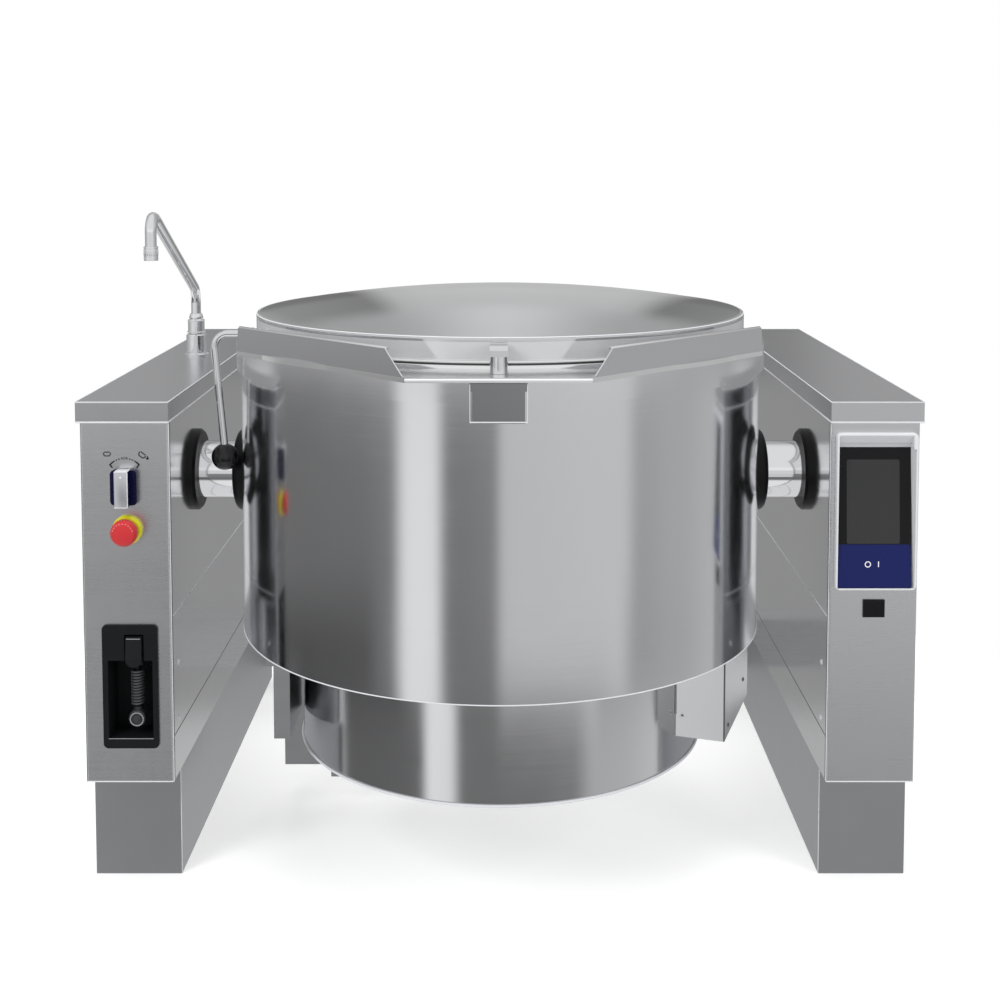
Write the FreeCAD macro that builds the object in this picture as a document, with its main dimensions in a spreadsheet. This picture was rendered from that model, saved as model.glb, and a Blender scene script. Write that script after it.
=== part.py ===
import FreeCAD, Part
import math
import os
import re

import Sketcher
from FreeCAD import Placement, Rotation, Vector

# A tilting boiling kettle: a jacketed round vessel hung by two trunnions between two sheet metal
# consoles, with a hinged lid, a geared tilt drive, a swivelling tap and the controls.
# The origin is on the floor, in the middle of the whole footprint. X runs to the right, Y to the
# rear and Z up. Every length is in millimetres.

# Driving sizes
# Each row is an alias, its value and what it measures. A value with an equals sign follows other rows.
SIZES = [
    ("axis_setback", 222, "vessel axis behind the front of the consoles"),
    ("trunnion_height", 731, "tilting axis above the floor"),
    ("lip_overhang", 58, "pouring lip in front of the vessel shell"),
    ("lip_reach", "=shell_radius + lip_overhang", "vessel axis to the front edge of the pouring lip"),
    ("console_gap", 99, "clear space between the vessel shell and a console"),
    ("console_inner", "=shell_radius + console_gap", "middle of the kettle to the inner wall of a console"),
    ("console_width", 160, "console across"),
    ("console_depth", 1095, "console from front to rear"),
    ("body_top", 862, "top of the console walls"),
    ("plinth_height", 200, "plinth under a console"),
    ("plinth_setback", 54, "plinth behind the console front"),
    ("plinth_flange", 30, "folded flange of the plinth"),
    ("cap_height", 38, "cover cap of a console"),
    ("cap_overhang", 7, "cap beyond the outer wall"),
    ("cap_front_overhang", 1, "cap beyond the front panel"),
    ("cap_rear_overhang", 36, "cap beyond the rear panel"),
    ("panel_wall", 2, "sheet of the console panels"),
    ("panel_return", 12, "folded edge of a wall panel"),
    ("front_return", 8, "folded edge of the front and rear panels"),
    ("bend_radius", 4, "outside radius of the panel bends"),
    ("cap_bend", 2.5, "outside radius of the cap edges"),
    ("seam_height", 505, "seam between the two inner wall panels"),
    ("seam_gap", 0.4, "gap at a panel seam"),
    ("frame_tube", 30, "frame tube across the console"),
    ("frame_post", 40, "frame tube along the console"),
    ("frame_inset", 72, "frame behind the front panel"),
    ("bearing_height", 91, "tilting axis above the rail that carries the bearing"),
    ("mid_rail_top", "=trunnion_height - bearing_height", "top of the rail that carries the bearing"),
    ("wall_hole", 62, "radius of the trunnion hole in the wall"),
    ("beam_front", 780, "cross beam behind the vessel axis"),
    ("beam_depth", 80, "cross beam from front to rear"),
    ("beam_bottom", 60, "underside of the cross beam"),
    ("beam_height", 120, "cross beam height"),
    ("beam_wall", 4, "wall of the cross beam"),
    ("shell_radius", 496, "outer radius of the vessel shell"),
    ("shell_bottom", 446, "underside of the vessel shell"),
    ("shell_top", 946, "top of the vessel shell"),
    ("shell_wall", 2, "sheet of the outer shells"),
    ("band_step", 8, "rim band outside the vessel shell"),
    ("band_radius", "=shell_radius + band_step", "outer radius of the rim band"),
    ("band_bottom", 944, "underside of the rim band"),
    ("band_top", 985, "top of the rim band"),
    ("lower_step", 111.5, "lower shell inside the vessel shell"),
    ("lower_radius", "=shell_radius - lower_step", "outer radius of the lower shell"),
    ("lower_bottom", 226, "underside of the lower shell"),
    ("lower_bead", 4, "rolled bead round the foot of the lower shell"),
    ("bowl_space", 44, "insulated space round the boiling vessel"),
    ("bowl_radius", "=shell_radius - bowl_space", "outer radius of the boiling vessel"),
    ("bowl_bottom", 428, "lowest point of the boiling vessel"),
    ("bowl_dish", 92, "depth of the dished bottom"),
    ("bowl_wall", 3, "plate of the boiling vessel"),
    ("jacket_space", 28, "insulation between the steam jacket and the shell"),
    ("jacket_radius", "=shell_radius - jacket_space", "outer radius of the steam jacket"),
    ("jacket_top", 880, "top of the steam jacket"),
    ("jacket_shoulder", 505, "foot of the wide part of the jacket"),
    ("jacket_waist", 456, "top of the narrow part of the jacket"),
    ("sump_space", 12.5, "insulation round the steam sump"),
    ("sump_radius", "=lower_radius - sump_space", "outer radius of the steam sump"),
    ("sump_bottom", 312, "lowest point of the steam sump"),
    ("sump_dish", 28, "depth of the sump's dished bottom"),
    ("jacket_wall", 3, "plate of the steam jacket"),
    ("flange_thickness", 8, "pouring flange from its underside to its top"),
    ("corner_trim", 0.45, "trim at each end of the lip edge"),
    ("lip_half_width", "=shell_radius * sqrt(2) - lip_reach - corner_trim", "half of the straight front edge of the lip"),
    ("guard_rear", 166, "pour guard behind its nearest point to the vessel axis"),
    ("guard_short", 6.3, "pour guard behind the end of the lip edge"),
    ("guard_front", "=(lip_reach - lip_half_width) / sqrt(2) - guard_short", "pour guard in front of its nearest point to the vessel axis"),
    ("guard_height", 42, "pour guard"),
    ("guard_slant", 41, "slanted front end of a pour guard"),
    ("guard_wall", 2, "sheet of a pour guard"),
    ("guard_lip", 9, "folded top edge of a pour guard"),
    ("bracket_half_width", 41.5, "half of the box under the lip"),
    ("bracket_bottom", 919, "underside of the box under the lip"),
    ("bracket_collar_bottom", 970, "underside of the collar on that box"),
    ("bracket_collar_top", 983, "top of the collar on that box"),
    ("bracket_collar", 4, "collar beyond that box"),
    ("bracket_depth", 49, "box under the lip in front of the shell"),
    ("bracket_reach", "=shell_radius + bracket_depth", "front of the box under the lip from the vessel axis"),
    ("latch_stand", 9, "latch post in front of the shell"),
    ("latch_reach", "=shell_radius + latch_stand", "latch post in front of the vessel axis"),
    ("latch_radius", 14.5, "latch post"),
    ("latch_head_bottom", 1021, "underside of the latch head"),
    ("latch_head_top", 1038, "top of the latch head"),
    ("latch_nose", 33.3, "rounded nose of the latch head from the post axis"),
    ("latch_bevel", 7, "bevel on the front of the latch head"),
    ("box_angle", 18.7, "turn of the service box about the vessel axis, in degrees"),
    ("box_inset", 34.3, "outer face of the service box inside the shell"),
    ("box_reach", "=shell_radius - box_inset", "outer face of the service box from the vessel axis"),
    ("box_front", 98, "front of the service box ahead of its middle line"),
    ("box_rear", 150, "rear of the service box behind its middle line"),
    ("box_bottom", 282, "underside of the service box"),
    ("cover_wall", 2, "sheet of the covers under the vessel"),
    ("duct_inset", 85, "pipe duct inside the shell"),
    ("duct_outer", "=shell_radius - duct_inset", "left side of the pipe duct"),
    ("duct_width", 29.5, "pipe duct across"),
    ("duct_front", 225, "front of the pipe duct ahead of the vessel axis"),
    ("duct_rear", 60, "rear of the pipe duct ahead of the vessel axis"),
    ("duct_bottom", 282, "underside of the pipe duct"),
    ("terminal_inset", 54, "terminal box inside the shell"),
    ("terminal_outer", "=shell_radius - terminal_inset", "left side of the terminal box"),
    ("terminal_inner", 140, "right side of the terminal box"),
    ("terminal_front", 100, "front of the terminal box behind the vessel axis"),
    ("terminal_rear", 222, "rear of the terminal box behind the vessel axis"),
    ("terminal_bottom", 96, "underside of the terminal box"),
    ("tray_inset", 94, "tray inside the left side of the terminal box"),
    ("tray_outer", "=terminal_outer - tray_inset", "left side of the tray under the terminal box"),
    ("tray_bottom", 70, "underside of that tray"),
    ("riser_space", 13.5, "cable riser outside the lower shell"),
    ("riser_inner", "=lower_radius + riser_space", "inner face of the cable riser of the terminal box"),
    ("trunnion_radius", 55, "trunnion tube"),
    ("trunnion_bore", 18, "radius of the bore through a trunnion"),
    ("tube_entry", 8, "wide trunnion tube inside the console wall"),
    ("trunnion_end", "=console_inner + tube_entry", "outer end of the wide trunnion tube"),
    ("saddle_radius", 82, "saddle flange of a trunnion"),
    ("saddle_inset", 12, "saddle flange inside the shell"),
    ("saddle_face", "=shell_radius - saddle_inset", "outer face of the saddle flange"),
    ("journal_radius", 30, "trunnion journal"),
    ("journal_entry", 135, "journal inside the console wall"),
    ("journal_end", "=console_inner + journal_entry", "outer end of the journal"),
    ("running_gap", 0.06, "radial running clearance of a shaft"),
    ("seat_gap", 0.3, "gap between pieces that seat without pressing"),
    ("seal_radius", 78.5, "outer radius of the trunnion seal rings"),
    ("seal_inner", 55.5, "inner radius of the wall seal rings"),
    ("wall_seal_depth", 14, "wall seal ring beyond the console wall"),
    ("shell_seal_depth", 23, "shell seal ring outside the shell"),
    ("shell_seal_face", "=shell_radius + shell_seal_depth", "outer face of the shell seal ring"),
    ("bearing_entry", 14, "trunnion bearing inside the console wall"),
    ("bearing_start", "=console_inner + bearing_entry", "inner face of a trunnion bearing"),
    ("bearing_width", 26, "trunnion bearing across"),
    ("bearing_radius", 58, "round of the bearing housing"),
    ("bearing_foot", 78, "half length of the bearing foot"),
    ("foot_height", 18, "height of the bearing foot"),
    ("gear_entry", 95, "sector gear inside the console wall"),
    ("gear_start", "=console_inner + gear_entry", "inner face of the sector gear"),
    ("gear_width", 16, "face width of the sector gear"),
    ("gear_module", 4, "module of the tilt gears"),
    ("sector_teeth", 72, "teeth of the sector gear if it were a full circle"),
    ("sector_from", -110, "first tooth of the sector, in degrees from the rear"),
    ("sector_to", 20, "last tooth of the sector, in degrees from the rear"),
    ("hub_radius", 48, "hub of the sector gear"),
    ("hub_extra", 4, "hub beyond each face of the sector gear"),
    ("pinion_teeth", 18, "teeth of the drive pinion"),
    ("pinion_shaft", 12, "radius of the pinion shaft"),
    ("backlash", 0.3, "play between the gear teeth"),
    ("gearbox_entry", 46, "gearbox inside the console wall"),
    ("gearbox_start", "=console_inner + gearbox_entry", "inner face of the gearbox"),
    ("gearbox_width", 45, "gearbox across"),
    ("gearbox_half", 52, "half of the gearbox from front to rear"),
    ("gearbox_rise", 61, "gearbox above the tilting axis"),
    ("gearbox_top", "=trunnion_height + gearbox_rise", "top of the gearbox"),
    ("shaft_depth", 36, "pinion shaft inside the gearbox"),
    ("motor_radius", 46, "tilt motor"),
    ("motor_length", 205, "tilt motor"),
    ("fan_cover", 42, "fan cover at the end of the tilt motor"),
    ("lid_inset", 30, "lid skirt inside the vessel shell"),
    ("lid_radius", "=shell_radius - lid_inset", "outer radius of the lid skirt"),
    ("lid_bottom", 1004, "underside of the lid skirt"),
    ("lid_bead", 5, "bead at the foot of the lid skirt"),
    ("lid_shoulder", 1042, "top of the lid skirt"),
    ("lid_roll", 7, "rolled edge between skirt and dome"),
    ("lid_top", 1087, "top of the lid dome"),
    ("lid_wall", 2, "sheet of the lid"),
    ("liner_top", 1040, "highest point of the lid liner"),
    ("liner_rim", 1012, "flat rim of the lid liner"),
    ("gasket_inset", 14, "lid gasket inside the lid skirt"),
    ("gasket_inner", "=lid_radius - gasket_inset", "inner radius of the lid gasket"),
    ("gasket_width", 10, "lid gasket across"),
    ("hinge_stand", 49, "lid hinge pin behind the shell"),
    ("hinge_reach", "=shell_radius + hinge_stand", "lid hinge pin behind the vessel axis"),
    ("hinge_height", 1022, "lid hinge pin above the floor"),
    ("pin_radius", 8, "lid hinge pin"),
    ("knuckle_radius", 13, "knuckles of the lid hinge"),
    ("arm_start", 40, "lid hinge arm from the middle"),
    ("arm_width", 30, "lid hinge arm across"),
    ("lug_gap", 1, "gap between a hinge arm and its lug"),
    ("lug_width", 10, "lug of the hinge bracket across"),
    ("handle_radius", 7, "lid handle rod"),
    ("handle_height", 1009, "lid handle rod above the floor"),
    ("handle_forward", 102, "lid handle in front of the vessel axis"),
    ("handle_stand", 41, "bend of the lid handle outside the shell"),
    ("handle_reach", "=shell_radius + handle_stand", "bend of the lid handle from the middle"),
    ("handle_bend", 26, "bend radius of the lid handle"),
    ("ball_radius", 25, "ball on the lid handle"),
    ("ball_lift", 45, "ball on the lid handle above the tilting axis"),
    ("ball_height", "=trunnion_height + ball_lift", "ball on the lid handle above the floor"),
    ("ball_stand", 21.5, "ball on the lid handle outside the shell"),
    ("ball_reach", "=shell_radius + ball_stand", "ball on the lid handle from the middle"),
    ("tap_inset", 81, "tap behind the console wall"),
    ("tap_reach", "=console_inner + tap_inset", "tap from the middle"),
    ("tap_rear", 401, "tap behind the vessel axis"),
    ("tap_radius", 22, "tap body"),
    ("tap_body_height", 50, "tap body above the cap"),
    ("nut_radius", 18, "collar nut of the tap"),
    ("nut_height", 32, "collar nut of the tap"),
    ("stem_depth", 20, "spout stem inside the collar nut"),
    ("spout_radius", 10.5, "spout tube"),
    ("spout_rise", 1046, "bend where the spout starts to slant"),
    ("spout_top", 1229, "axis of the spout at its highest bend"),
    ("outlet_inset", 50, "spout outlet behind the console wall"),
    ("spout_end_x", "=console_inner + outlet_inset", "spout outlet from the middle"),
    ("spout_end_front", 124, "spout outlet in front of the vessel axis"),
    ("spout_outlet", 1147, "spout outlet above the floor"),
    ("spout_foot_bend", 40, "bend radius at the top of the spout stem"),
    ("spout_high_bend", 60, "bend radius before the highest point of the spout"),
    ("spout_hook_bend", 26, "bend radius of the hook of the spout"),
    ("spout_hook", 44, "level run of the spout before its hook"),
    ("aerator_radius", 13, "aerator of the spout"),
    ("aerator_height", 26, "aerator of the spout"),
    ("knob_inset", 80, "selector knob from the console wall"),
    ("knob_x", "=console_inner + knob_inset", "selector knob from the middle"),
    ("knob_z", 746, "selector knob above the floor"),
    ("knob_width", 48, "selector knob across"),
    ("knob_length", 64, "selector knob from top to bottom"),
    ("knob_base", 11, "base of the selector knob"),
    ("knob_depth", 30, "selector knob in front of the panel"),
    ("grip_width", 24, "grip bar of the selector knob"),
    ("stop_inset", 76, "stop button from the console wall"),
    ("stop_x", "=console_inner + stop_inset", "stop button from the middle"),
    ("stop_z", 668, "stop button above the floor"),
    ("stop_collar_radius", 27, "collar of the stop button"),
    ("stop_collar_depth", 10, "collar of the stop button"),
    ("stop_radius", 23.5, "head of the stop button"),
    ("stop_depth", 40, "stop button in front of the panel"),
    ("stop_stem", 11, "stem radius of the stop button"),
    ("spray_side", 68, "spray gun from the console wall"),
    ("spray_x", "=console_inner + spray_side", "spray gun from the middle"),
    ("recess_inside", 43, "spray recess frame on the inner side of the gun"),
    ("recess_outside", 58, "spray recess frame on the outer side of the gun"),
    ("recess_inner", "=spray_x - recess_inside", "inner edge of the spray recess frame"),
    ("recess_outer", "=spray_x + recess_outside", "outer edge of the spray recess frame"),
    ("recess_bottom", 264, "lower edge of the spray recess frame"),
    ("recess_top", 493, "upper edge of the spray recess frame"),
    ("recess_proud", 4, "spray recess frame in front of the panel"),
    ("recess_depth", 60, "spray recess behind the panel"),
    ("recess_border", 10, "side border of the spray recess frame"),
    ("cavity_bottom", 283, "lower edge of the spray cavity"),
    ("cavity_top", 427, "upper edge of the spray cavity"),
    ("slot_top", 475, "upper edge of the slot for the spray lever"),
    ("lever_width", 29, "spray lever across"),
    ("lever_bottom", 416, "lower edge of the spray lever"),
    ("lever_top", 471, "upper edge of the spray lever"),
    ("lever_depth", 4, "rear face of the spray lever behind the panel"),
    ("lever_pin", 2.5, "radius of the pin of the spray lever"),
    ("lever_ear", 3.5, "ears of the spray lever"),
    ("grip_half", 6, "half of the grip of the spray gun from front to rear"),
    ("spray_inset", 22, "spray gun axis behind the panel"),
    ("neck_radius", 13, "spring round the spray neck"),
    ("nozzle_radius", 15.5, "round head of the spray nozzle"),
    ("nozzle_height", 314, "round head of the spray nozzle above the floor"),
    ("nozzle_reach", 14, "round head of the spray nozzle in front of the neck"),
    ("nozzle_top", 335, "foot of the spring sleeve"),
    ("bezel_inset", 9, "control bezel from the console wall"),
    ("bezel_width", 146, "control bezel across"),
    ("bezel_inner", "=console_inner + bezel_inset", "inner edge of the control bezel"),
    ("bezel_outer", "=bezel_inner + bezel_width", "outer edge of the control bezel"),
    ("bezel_bottom", 559, "lower edge of the control bezel"),
    ("bezel_top", 845, "upper edge of the control bezel"),
    ("bezel_proud", 13, "control bezel in front of the panel"),
    ("bezel_round", 9, "corner radius of the control bezel"),
    ("glass_border", 4, "rim of the bezel on the inner side of the glass"),
    ("glass_width", 133, "control glass across"),
    ("screen_inner", "=bezel_inner + glass_border", "inner edge of the control glass"),
    ("screen_outer", "=screen_inner + glass_width", "outer edge of the control glass"),
    ("screen_bottom", 563, "lower edge of the control glass"),
    ("screen_top", 816, "upper edge of the control glass"),
    ("screen_thickness", 4, "control glass"),
    ("bezel_edge", 4, "rim of the control bezel round its mouth"),
    ("tray_rim", 3, "tray of the control unit beyond the edges of the glass"),
    ("tray_rise", 8, "tray of the control unit above the glass"),
    ("tray_depth", 25, "tray of the control unit behind the panel"),
    ("screen_sink", 2, "foot of the control glass below the face of the bezel"),
    ("screen_lean", 20, "top of the control glass behind its foot"),
    ("port_inset", 81.5, "service port from the console wall"),
    ("port_x", "=console_inner + port_inset", "service port from the middle"),
    ("port_width", 39, "cover of the service port across"),
    ("port_bottom", 507, "lower edge of the port cover"),
    ("port_top", 539, "upper edge of the port cover"),
    ("port_thickness", 3, "cover of the service port"),
    ("screw_radius", 5, "screw heads"),
    ("screw_height", 2.6, "screw heads"),
    ("screw_inset", 50, "wall screws behind the front panel"),
    ("service_screw_side", 60, "front screws of the service box ahead of its middle line"),
    ("service_screw_rear", 100, "rear screw of the service box behind its middle line"),
    ("service_screw_low", 300, "lower front screw of the service box above the floor"),
    ("service_screw_high", 425, "upper front screw of the service box above the floor"),
    ("service_screw_back", 330, "rear screw of the service box above the floor"),
    ("screw_low", 301, "lower wall screws above the floor"),
    ("screw_high", 406, "upper wall screws above the floor"),
]

DOC = FreeCAD.newDocument("tilting_boiling_kettle")
SHEET = DOC.addObject("Spreadsheet::Sheet", "sizes")
for row, (alias, value, meaning) in enumerate(SIZES, start=1):
    SHEET.set(f"A{row}", meaning)
    SHEET.setAlias(f"B{row}", alias)
for row, (alias, value, meaning) in enumerate(SIZES, start=1):
    SHEET.set(f"B{row}", str(value))
DOC.recompute()
ALIASES = {alias for alias, value, meaning in SIZES}

# Places worked out from the driving sizes
AXIS_Y = "(lip_reach - console_depth - cap_rear_overhang + axis_setback) / 2"
FRONT = f"({AXIS_Y} - axis_setback)"
BACK = f"({AXIS_Y} - axis_setback + console_depth)"
CAP_TOP = "(body_top + cap_height)"
FLANGE_TOP = "(band_top + flange_thickness)"
GEAR_DISTANCE = "(gear_module * (sector_teeth + pinion_teeth) / 2)"

NODES = []


def size(alias):
    """Return one driving size as a number."""
    return float(SHEET.get(alias))


def linked(text):
    """Return an expression in which every size is a cell of the sheet."""
    return re.sub(r"[a-z_]+", lambda word: "sizes." + word[0] if word[0] in ALIASES else word[0], text)


def bind(thing, **expressions):
    """Bind properties to expressions; a double underscore stands for a dot."""
    for name, text in expressions.items():
        thing.setExpression(name.replace("__", "."), linked(text))


def node(thing, name):
    """Give a finished sub-part its label and keep it for the export."""
    thing.Label = name
    NODES.append(thing)
    return thing


# Sketches and features
def new_body(name, x="0", y="0", z="0", rotation=None):
    """Start a body whose own frame stands at x, y, z."""
    body = DOC.addObject("PartDesign::Body", name)
    body.Placement = Placement(Vector(), rotation or Rotation())
    bind(body, Placement__Base__x=x, Placement__Base__y=y, Placement__Base__z=z)
    return body


def kettle_body(name, **placing):
    """Start a body in the frame of the vessel axis."""
    return new_body(name, y=AXIS_Y, **placing)


def facing_body(name, x, z):
    """Start a body on the front panel whose own Z axis points out of the panel."""
    return new_body(name, x, FRONT, z, Rotation(Vector(1, 0, 0), 90))


def sketch_on(body, plane, offset):
    """Start a sketch on one of the body's own planes, moved along its normal."""
    sketch = body.newObject("Sketcher::SketchObject", body.Name + "_sketch")
    origin = [part for part in body.Origin.OriginFeatures if part.Role == plane][0]
    sketch.AttachmentSupport = (origin, [""])
    sketch.MapMode = "FlatFace"
    bind(sketch, AttachmentOffset__Base__z=offset)
    return sketch


def fixed_points(sketch, places):
    """Add a construction point at each place, held by bound distances from the origin."""
    first = sketch.GeometryCount
    for number, place in enumerate(places):
        start = Vector(10 * math.cos(number), 10 * math.sin(number), 0)
        sketch.addGeometry(Part.Point(start), True)
        for kind, axis, text in (("DistanceX", -2, place[0]), ("DistanceY", -1, place[1])):
            if text == "0":
                sketch.addConstraint(Sketcher.Constraint("PointOnObject", first + number, 1, axis))
                continue
            held = Sketcher.Constraint(kind, -1, 1, first + number, 1, 1.0)
            index = sketch.addConstraint(held)
            sketch.setExpression(f"Constraints[{index}]", linked(text))
    sketch.recompute()
    return first


def add_outline(sketch, corners):
    """Join corners into a closed loop; a corner marked dome starts an arc centred on the V axis."""
    first = fixed_points(sketch, corners)
    count = len(corners)
    for number in range(count):
        start = sketch.getPoint(first + number, 1)
        end_point = first + (number + 1) % count
        end = sketch.getPoint(end_point, 1)
        if len(corners[number]) < 3:
            edge = sketch.addGeometry(Part.LineSegment(start, end), False)
            ends = (1, 2)
        else:
            centre = Vector(0, (start.dot(start) - end.dot(end)) / (2 * (start.y - end.y)), 0)
            radius = (start - centre).Length
            bisector = (start - centre).normalize() + (end - centre).normalize()
            edge = sketch.addGeometry(Part.Arc(start, centre + bisector.normalize() * radius, end), False)
            ends = (1, 2) if (sketch.getPoint(edge, 1) - start).Length < 1e-4 else (2, 1)
            sketch.addConstraint(Sketcher.Constraint("PointOnObject", edge, 3, -2))
        sketch.addConstraint(Sketcher.Constraint("Coincident", edge, ends[0], first + number, 1))
        sketch.addConstraint(Sketcher.Constraint("Coincident", edge, ends[1], end_point, 1))


def add_circle(sketch, across, up, radius):
    """Add a circle whose centre and radius are bound."""
    centre = fixed_points(sketch, [(across, up)])
    circle = sketch.addGeometry(Part.Circle(sketch.getPoint(centre, 1), Vector(0, 0, 1), 9), False)
    sketch.addConstraint(Sketcher.Constraint("Coincident", circle, 3, centre, 1))
    index = sketch.addConstraint(Sketcher.Constraint("Radius", circle, 9.0))
    sketch.setExpression(f"Constraints[{index}]", linked(radius))


def draw(body, plane, loops, offset="0"):
    """Make a sketch of several loops; a loop of three texts is a circle."""
    sketch = sketch_on(body, plane, offset)
    for loop in loops:
        if isinstance(loop, tuple):
            add_circle(sketch, *loop)
        else:
            add_outline(sketch, loop)
    return sketch


def rectangle(left, right, low, high):
    """Return the four corners of a rectangle."""
    return [(left, low), (right, low), (right, high), (left, high)]


def extrude(body, kind, axis, loops, low, high):
    """Pad or pocket loops along one axis between two places."""
    plane = {"x": "YZ_Plane", "y": "XZ_Plane", "z": "XY_Plane"}[axis]
    if axis == "y":
        offset = f"-1 * ({high})" if kind == "Pad" else f"-1 * ({low})"
    else:
        offset = low if kind == "Pad" else high
    feature = body.newObject("PartDesign::" + kind, f"{body.Name}_{kind.lower()}")
    feature.Profile = draw(body, plane, loops, offset)
    feature.Profile[0].Visibility = False
    bind(feature, Length=f"({high}) - ({low})")
    body.Tip = feature
    return feature


def pad(body, axis, loops, low, high):
    """Add material between two places."""
    return extrude(body, "Pad", axis, loops, low, high)


def cut(body, axis, loops, low, high):
    """Remove material between two places."""
    return extrude(body, "Pocket", axis, loops, low, high)


def turn(body, corners, kind="Revolution", axis="V_Axis"):
    """Turn a profile in the XZ plane about one of its axes, to add or remove material."""
    feature = body.newObject("PartDesign::" + kind, f"{body.Name}_{kind.lower()}")
    sketch = draw(body, "XZ_Plane", [corners])
    feature.Profile = sketch
    feature.ReferenceAxis = (sketch, [axis])
    feature.Angle = 360
    body.Tip = feature
    return feature


def round_edges(body, radius, chosen):
    """Round the edges of a body that a test chooses."""
    DOC.recompute()
    tip = body.Tip
    names = [f"Edge{n}" for n, edge in enumerate(tip.Shape.Edges, start=1) if chosen(edge)]
    fillet = body.newObject("PartDesign::Fillet", body.Name + "_fillet")
    fillet.Base = (tip, names)
    bind(fillet, Radius=radius)
    body.Tip = fillet
    return fillet


def runs_along(edge, direction):
    """Say whether a straight edge runs along a direction."""
    if len(edge.Vertexes) < 2:
        return False
    span = edge.Vertexes[1].Point - edge.Vertexes[0].Point
    return span.Length > 0 and abs(abs(span.normalize().dot(direction)) - 1) < 1e-6


def sided(side, text):
    """Return a place on the right for a side of 1 and on the left for a side of -1."""
    return text if side > 0 else f"-1 * ({text})"


def span(side, near, far):
    """Return the lower and higher place of a stretch that lies on one side."""
    return (near, far) if side > 0 else (f"-1 * ({far})", f"-1 * ({near})")


def mirrored_loop(side, corners):
    """Move a loop to one side by the sign of its first coordinates."""
    return [(sided(side, corner[0]), *corner[1:]) for corner in corners]


# Consoles
def plinth(name, side):
    """Folded plinth: four walls with a flange at the foot and one at the top."""
    body = new_body(name)

    def ring(inset):
        near, far = span(side, f"console_inner + {inset}", f"console_inner + console_width - {inset}")
        return rectangle(near, far, f"{FRONT} + plinth_setback + {inset}", f"{BACK} - {inset}")

    pad(body, "z", [ring("0"), ring("panel_wall")], "0", "plinth_height")
    pad(body, "z", [ring("0"), ring("plinth_flange")], "0", "panel_wall")
    pad(body, "z", [ring("0"), ring("plinth_flange")], "plinth_height - panel_wall", "plinth_height")
    node(body, name)


def frame(name, side):
    """Welded frame inside a console: two ladders of square tube joined by cross tubes."""
    body = new_body(name)
    front = f"{FRONT} + frame_inset"
    back = f"{BACK} - front_return"
    top = f"{CAP_TOP} - panel_wall"
    outline = rectangle(front, back, "plinth_height", top)
    first_window = rectangle(
        f"{front} + frame_post", f"{AXIS_Y} - frame_post / 2",
        "plinth_height + frame_post", "mid_rail_top - frame_post")
    second_window = rectangle(
        f"{AXIS_Y} + frame_post / 2", f"{back} - frame_post",
        "plinth_height + frame_post", "mid_rail_top - frame_post")
    upper_window = rectangle(
        f"{front} + frame_post", f"{back} - frame_post", "mid_rail_top", f"{top} - frame_tube")
    ladder = [outline, first_window, second_window, upper_window]
    inner = "console_inner + panel_return"
    outer = "console_inner + console_width - panel_return"
    pad(body, "x", ladder, *span(side, inner, f"{inner} + frame_tube"))
    pad(body, "x", ladder, *span(side, f"{outer} - frame_tube", outer))
    for start, end in ((front, f"{front} + frame_post"), (f"{back} - frame_post", back)):
        for low, high in (("plinth_height", "plinth_height + frame_post"), (f"{top} - frame_tube", top)):
            pad(body, "x", [rectangle(start, end, low, high)], *span(side, inner, outer))
    node(body, name)


def channel(side, open_to, plane):
    """Return the U profile of a front or rear panel seen from above."""
    inner = "console_inner"
    outer = "console_inner + console_width"
    deep = f"{plane} + {open_to} * front_return"
    flat = f"{plane} + {open_to} * panel_wall"
    return mirrored_loop(side, [
        (inner, deep), (inner, plane), (outer, plane), (outer, deep),
        (f"{outer} - panel_wall", deep), (f"{outer} - panel_wall", flat),
        (f"{inner} + panel_wall", flat), (f"{inner} + panel_wall", deep)])


def bend_corners(body, plane_y):
    """Round the two outer bends of a front or rear panel."""
    round_edges(body, "bend_radius", lambda edge: runs_along(edge, Vector(0, 0, 1))
                and abs(edge.Vertexes[0].Y - plane_y) < 1e-3)
    round_edges(body, "bend_radius - panel_wall", lambda edge: runs_along(edge, Vector(0, 0, 1))
                and abs(abs(edge.Vertexes[0].Y - plane_y) - size("panel_wall")) < 1e-3)


def front_y():
    """Return the front plane of the consoles as a number."""
    reach = size("lip_reach") - size("console_depth") - size("cap_rear_overhang")
    return (reach + size("axis_setback")) / 2 - size("axis_setback")


def left_front_panel():
    """Left front panel with the openings for the knob, the stop button and the spray recess."""
    body = new_body("left_front_panel")
    pad(body, "z", [channel(-1, 1, FRONT)], "plinth_height", "body_top")
    bend_corners(body, front_y())
    holes = [
        ("-1 * knob_x", "knob_z", "stop_stem"),
        ("-1 * stop_x", "stop_z", "stop_stem + seat_gap"),
        rectangle(
            "-1 * (recess_outer - recess_border + panel_wall + seat_gap)",
            "-1 * (recess_inner + recess_border - panel_wall - seat_gap)",
            "cavity_bottom - panel_wall - seat_gap", "slot_top + panel_wall + seat_gap")]
    cut(body, "y", holes, f"{FRONT} - panel_wall", f"{FRONT} + 2 * panel_wall")
    node(body, "left_front_panel")


def right_front_panel():
    """Right front panel with the openings for the control unit and the service port."""
    body = new_body("right_front_panel")
    pad(body, "z", [channel(1, 1, FRONT)], "plinth_height", "body_top")
    bend_corners(body, front_y())
    holes = [
        rectangle("screen_inner - tray_rim - seat_gap", "screen_outer + tray_rim + seat_gap",
                  "screen_bottom - tray_rim - seat_gap", "screen_top + tray_rise + seat_gap"),
        rectangle("port_x - port_width / 4", "port_x + port_width / 4",
                  "port_bottom + port_width / 5", "port_top - port_width / 4")]
    cut(body, "y", holes, f"{FRONT} - panel_wall", f"{FRONT} + 2 * panel_wall")
    node(body, "right_front_panel")


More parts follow.
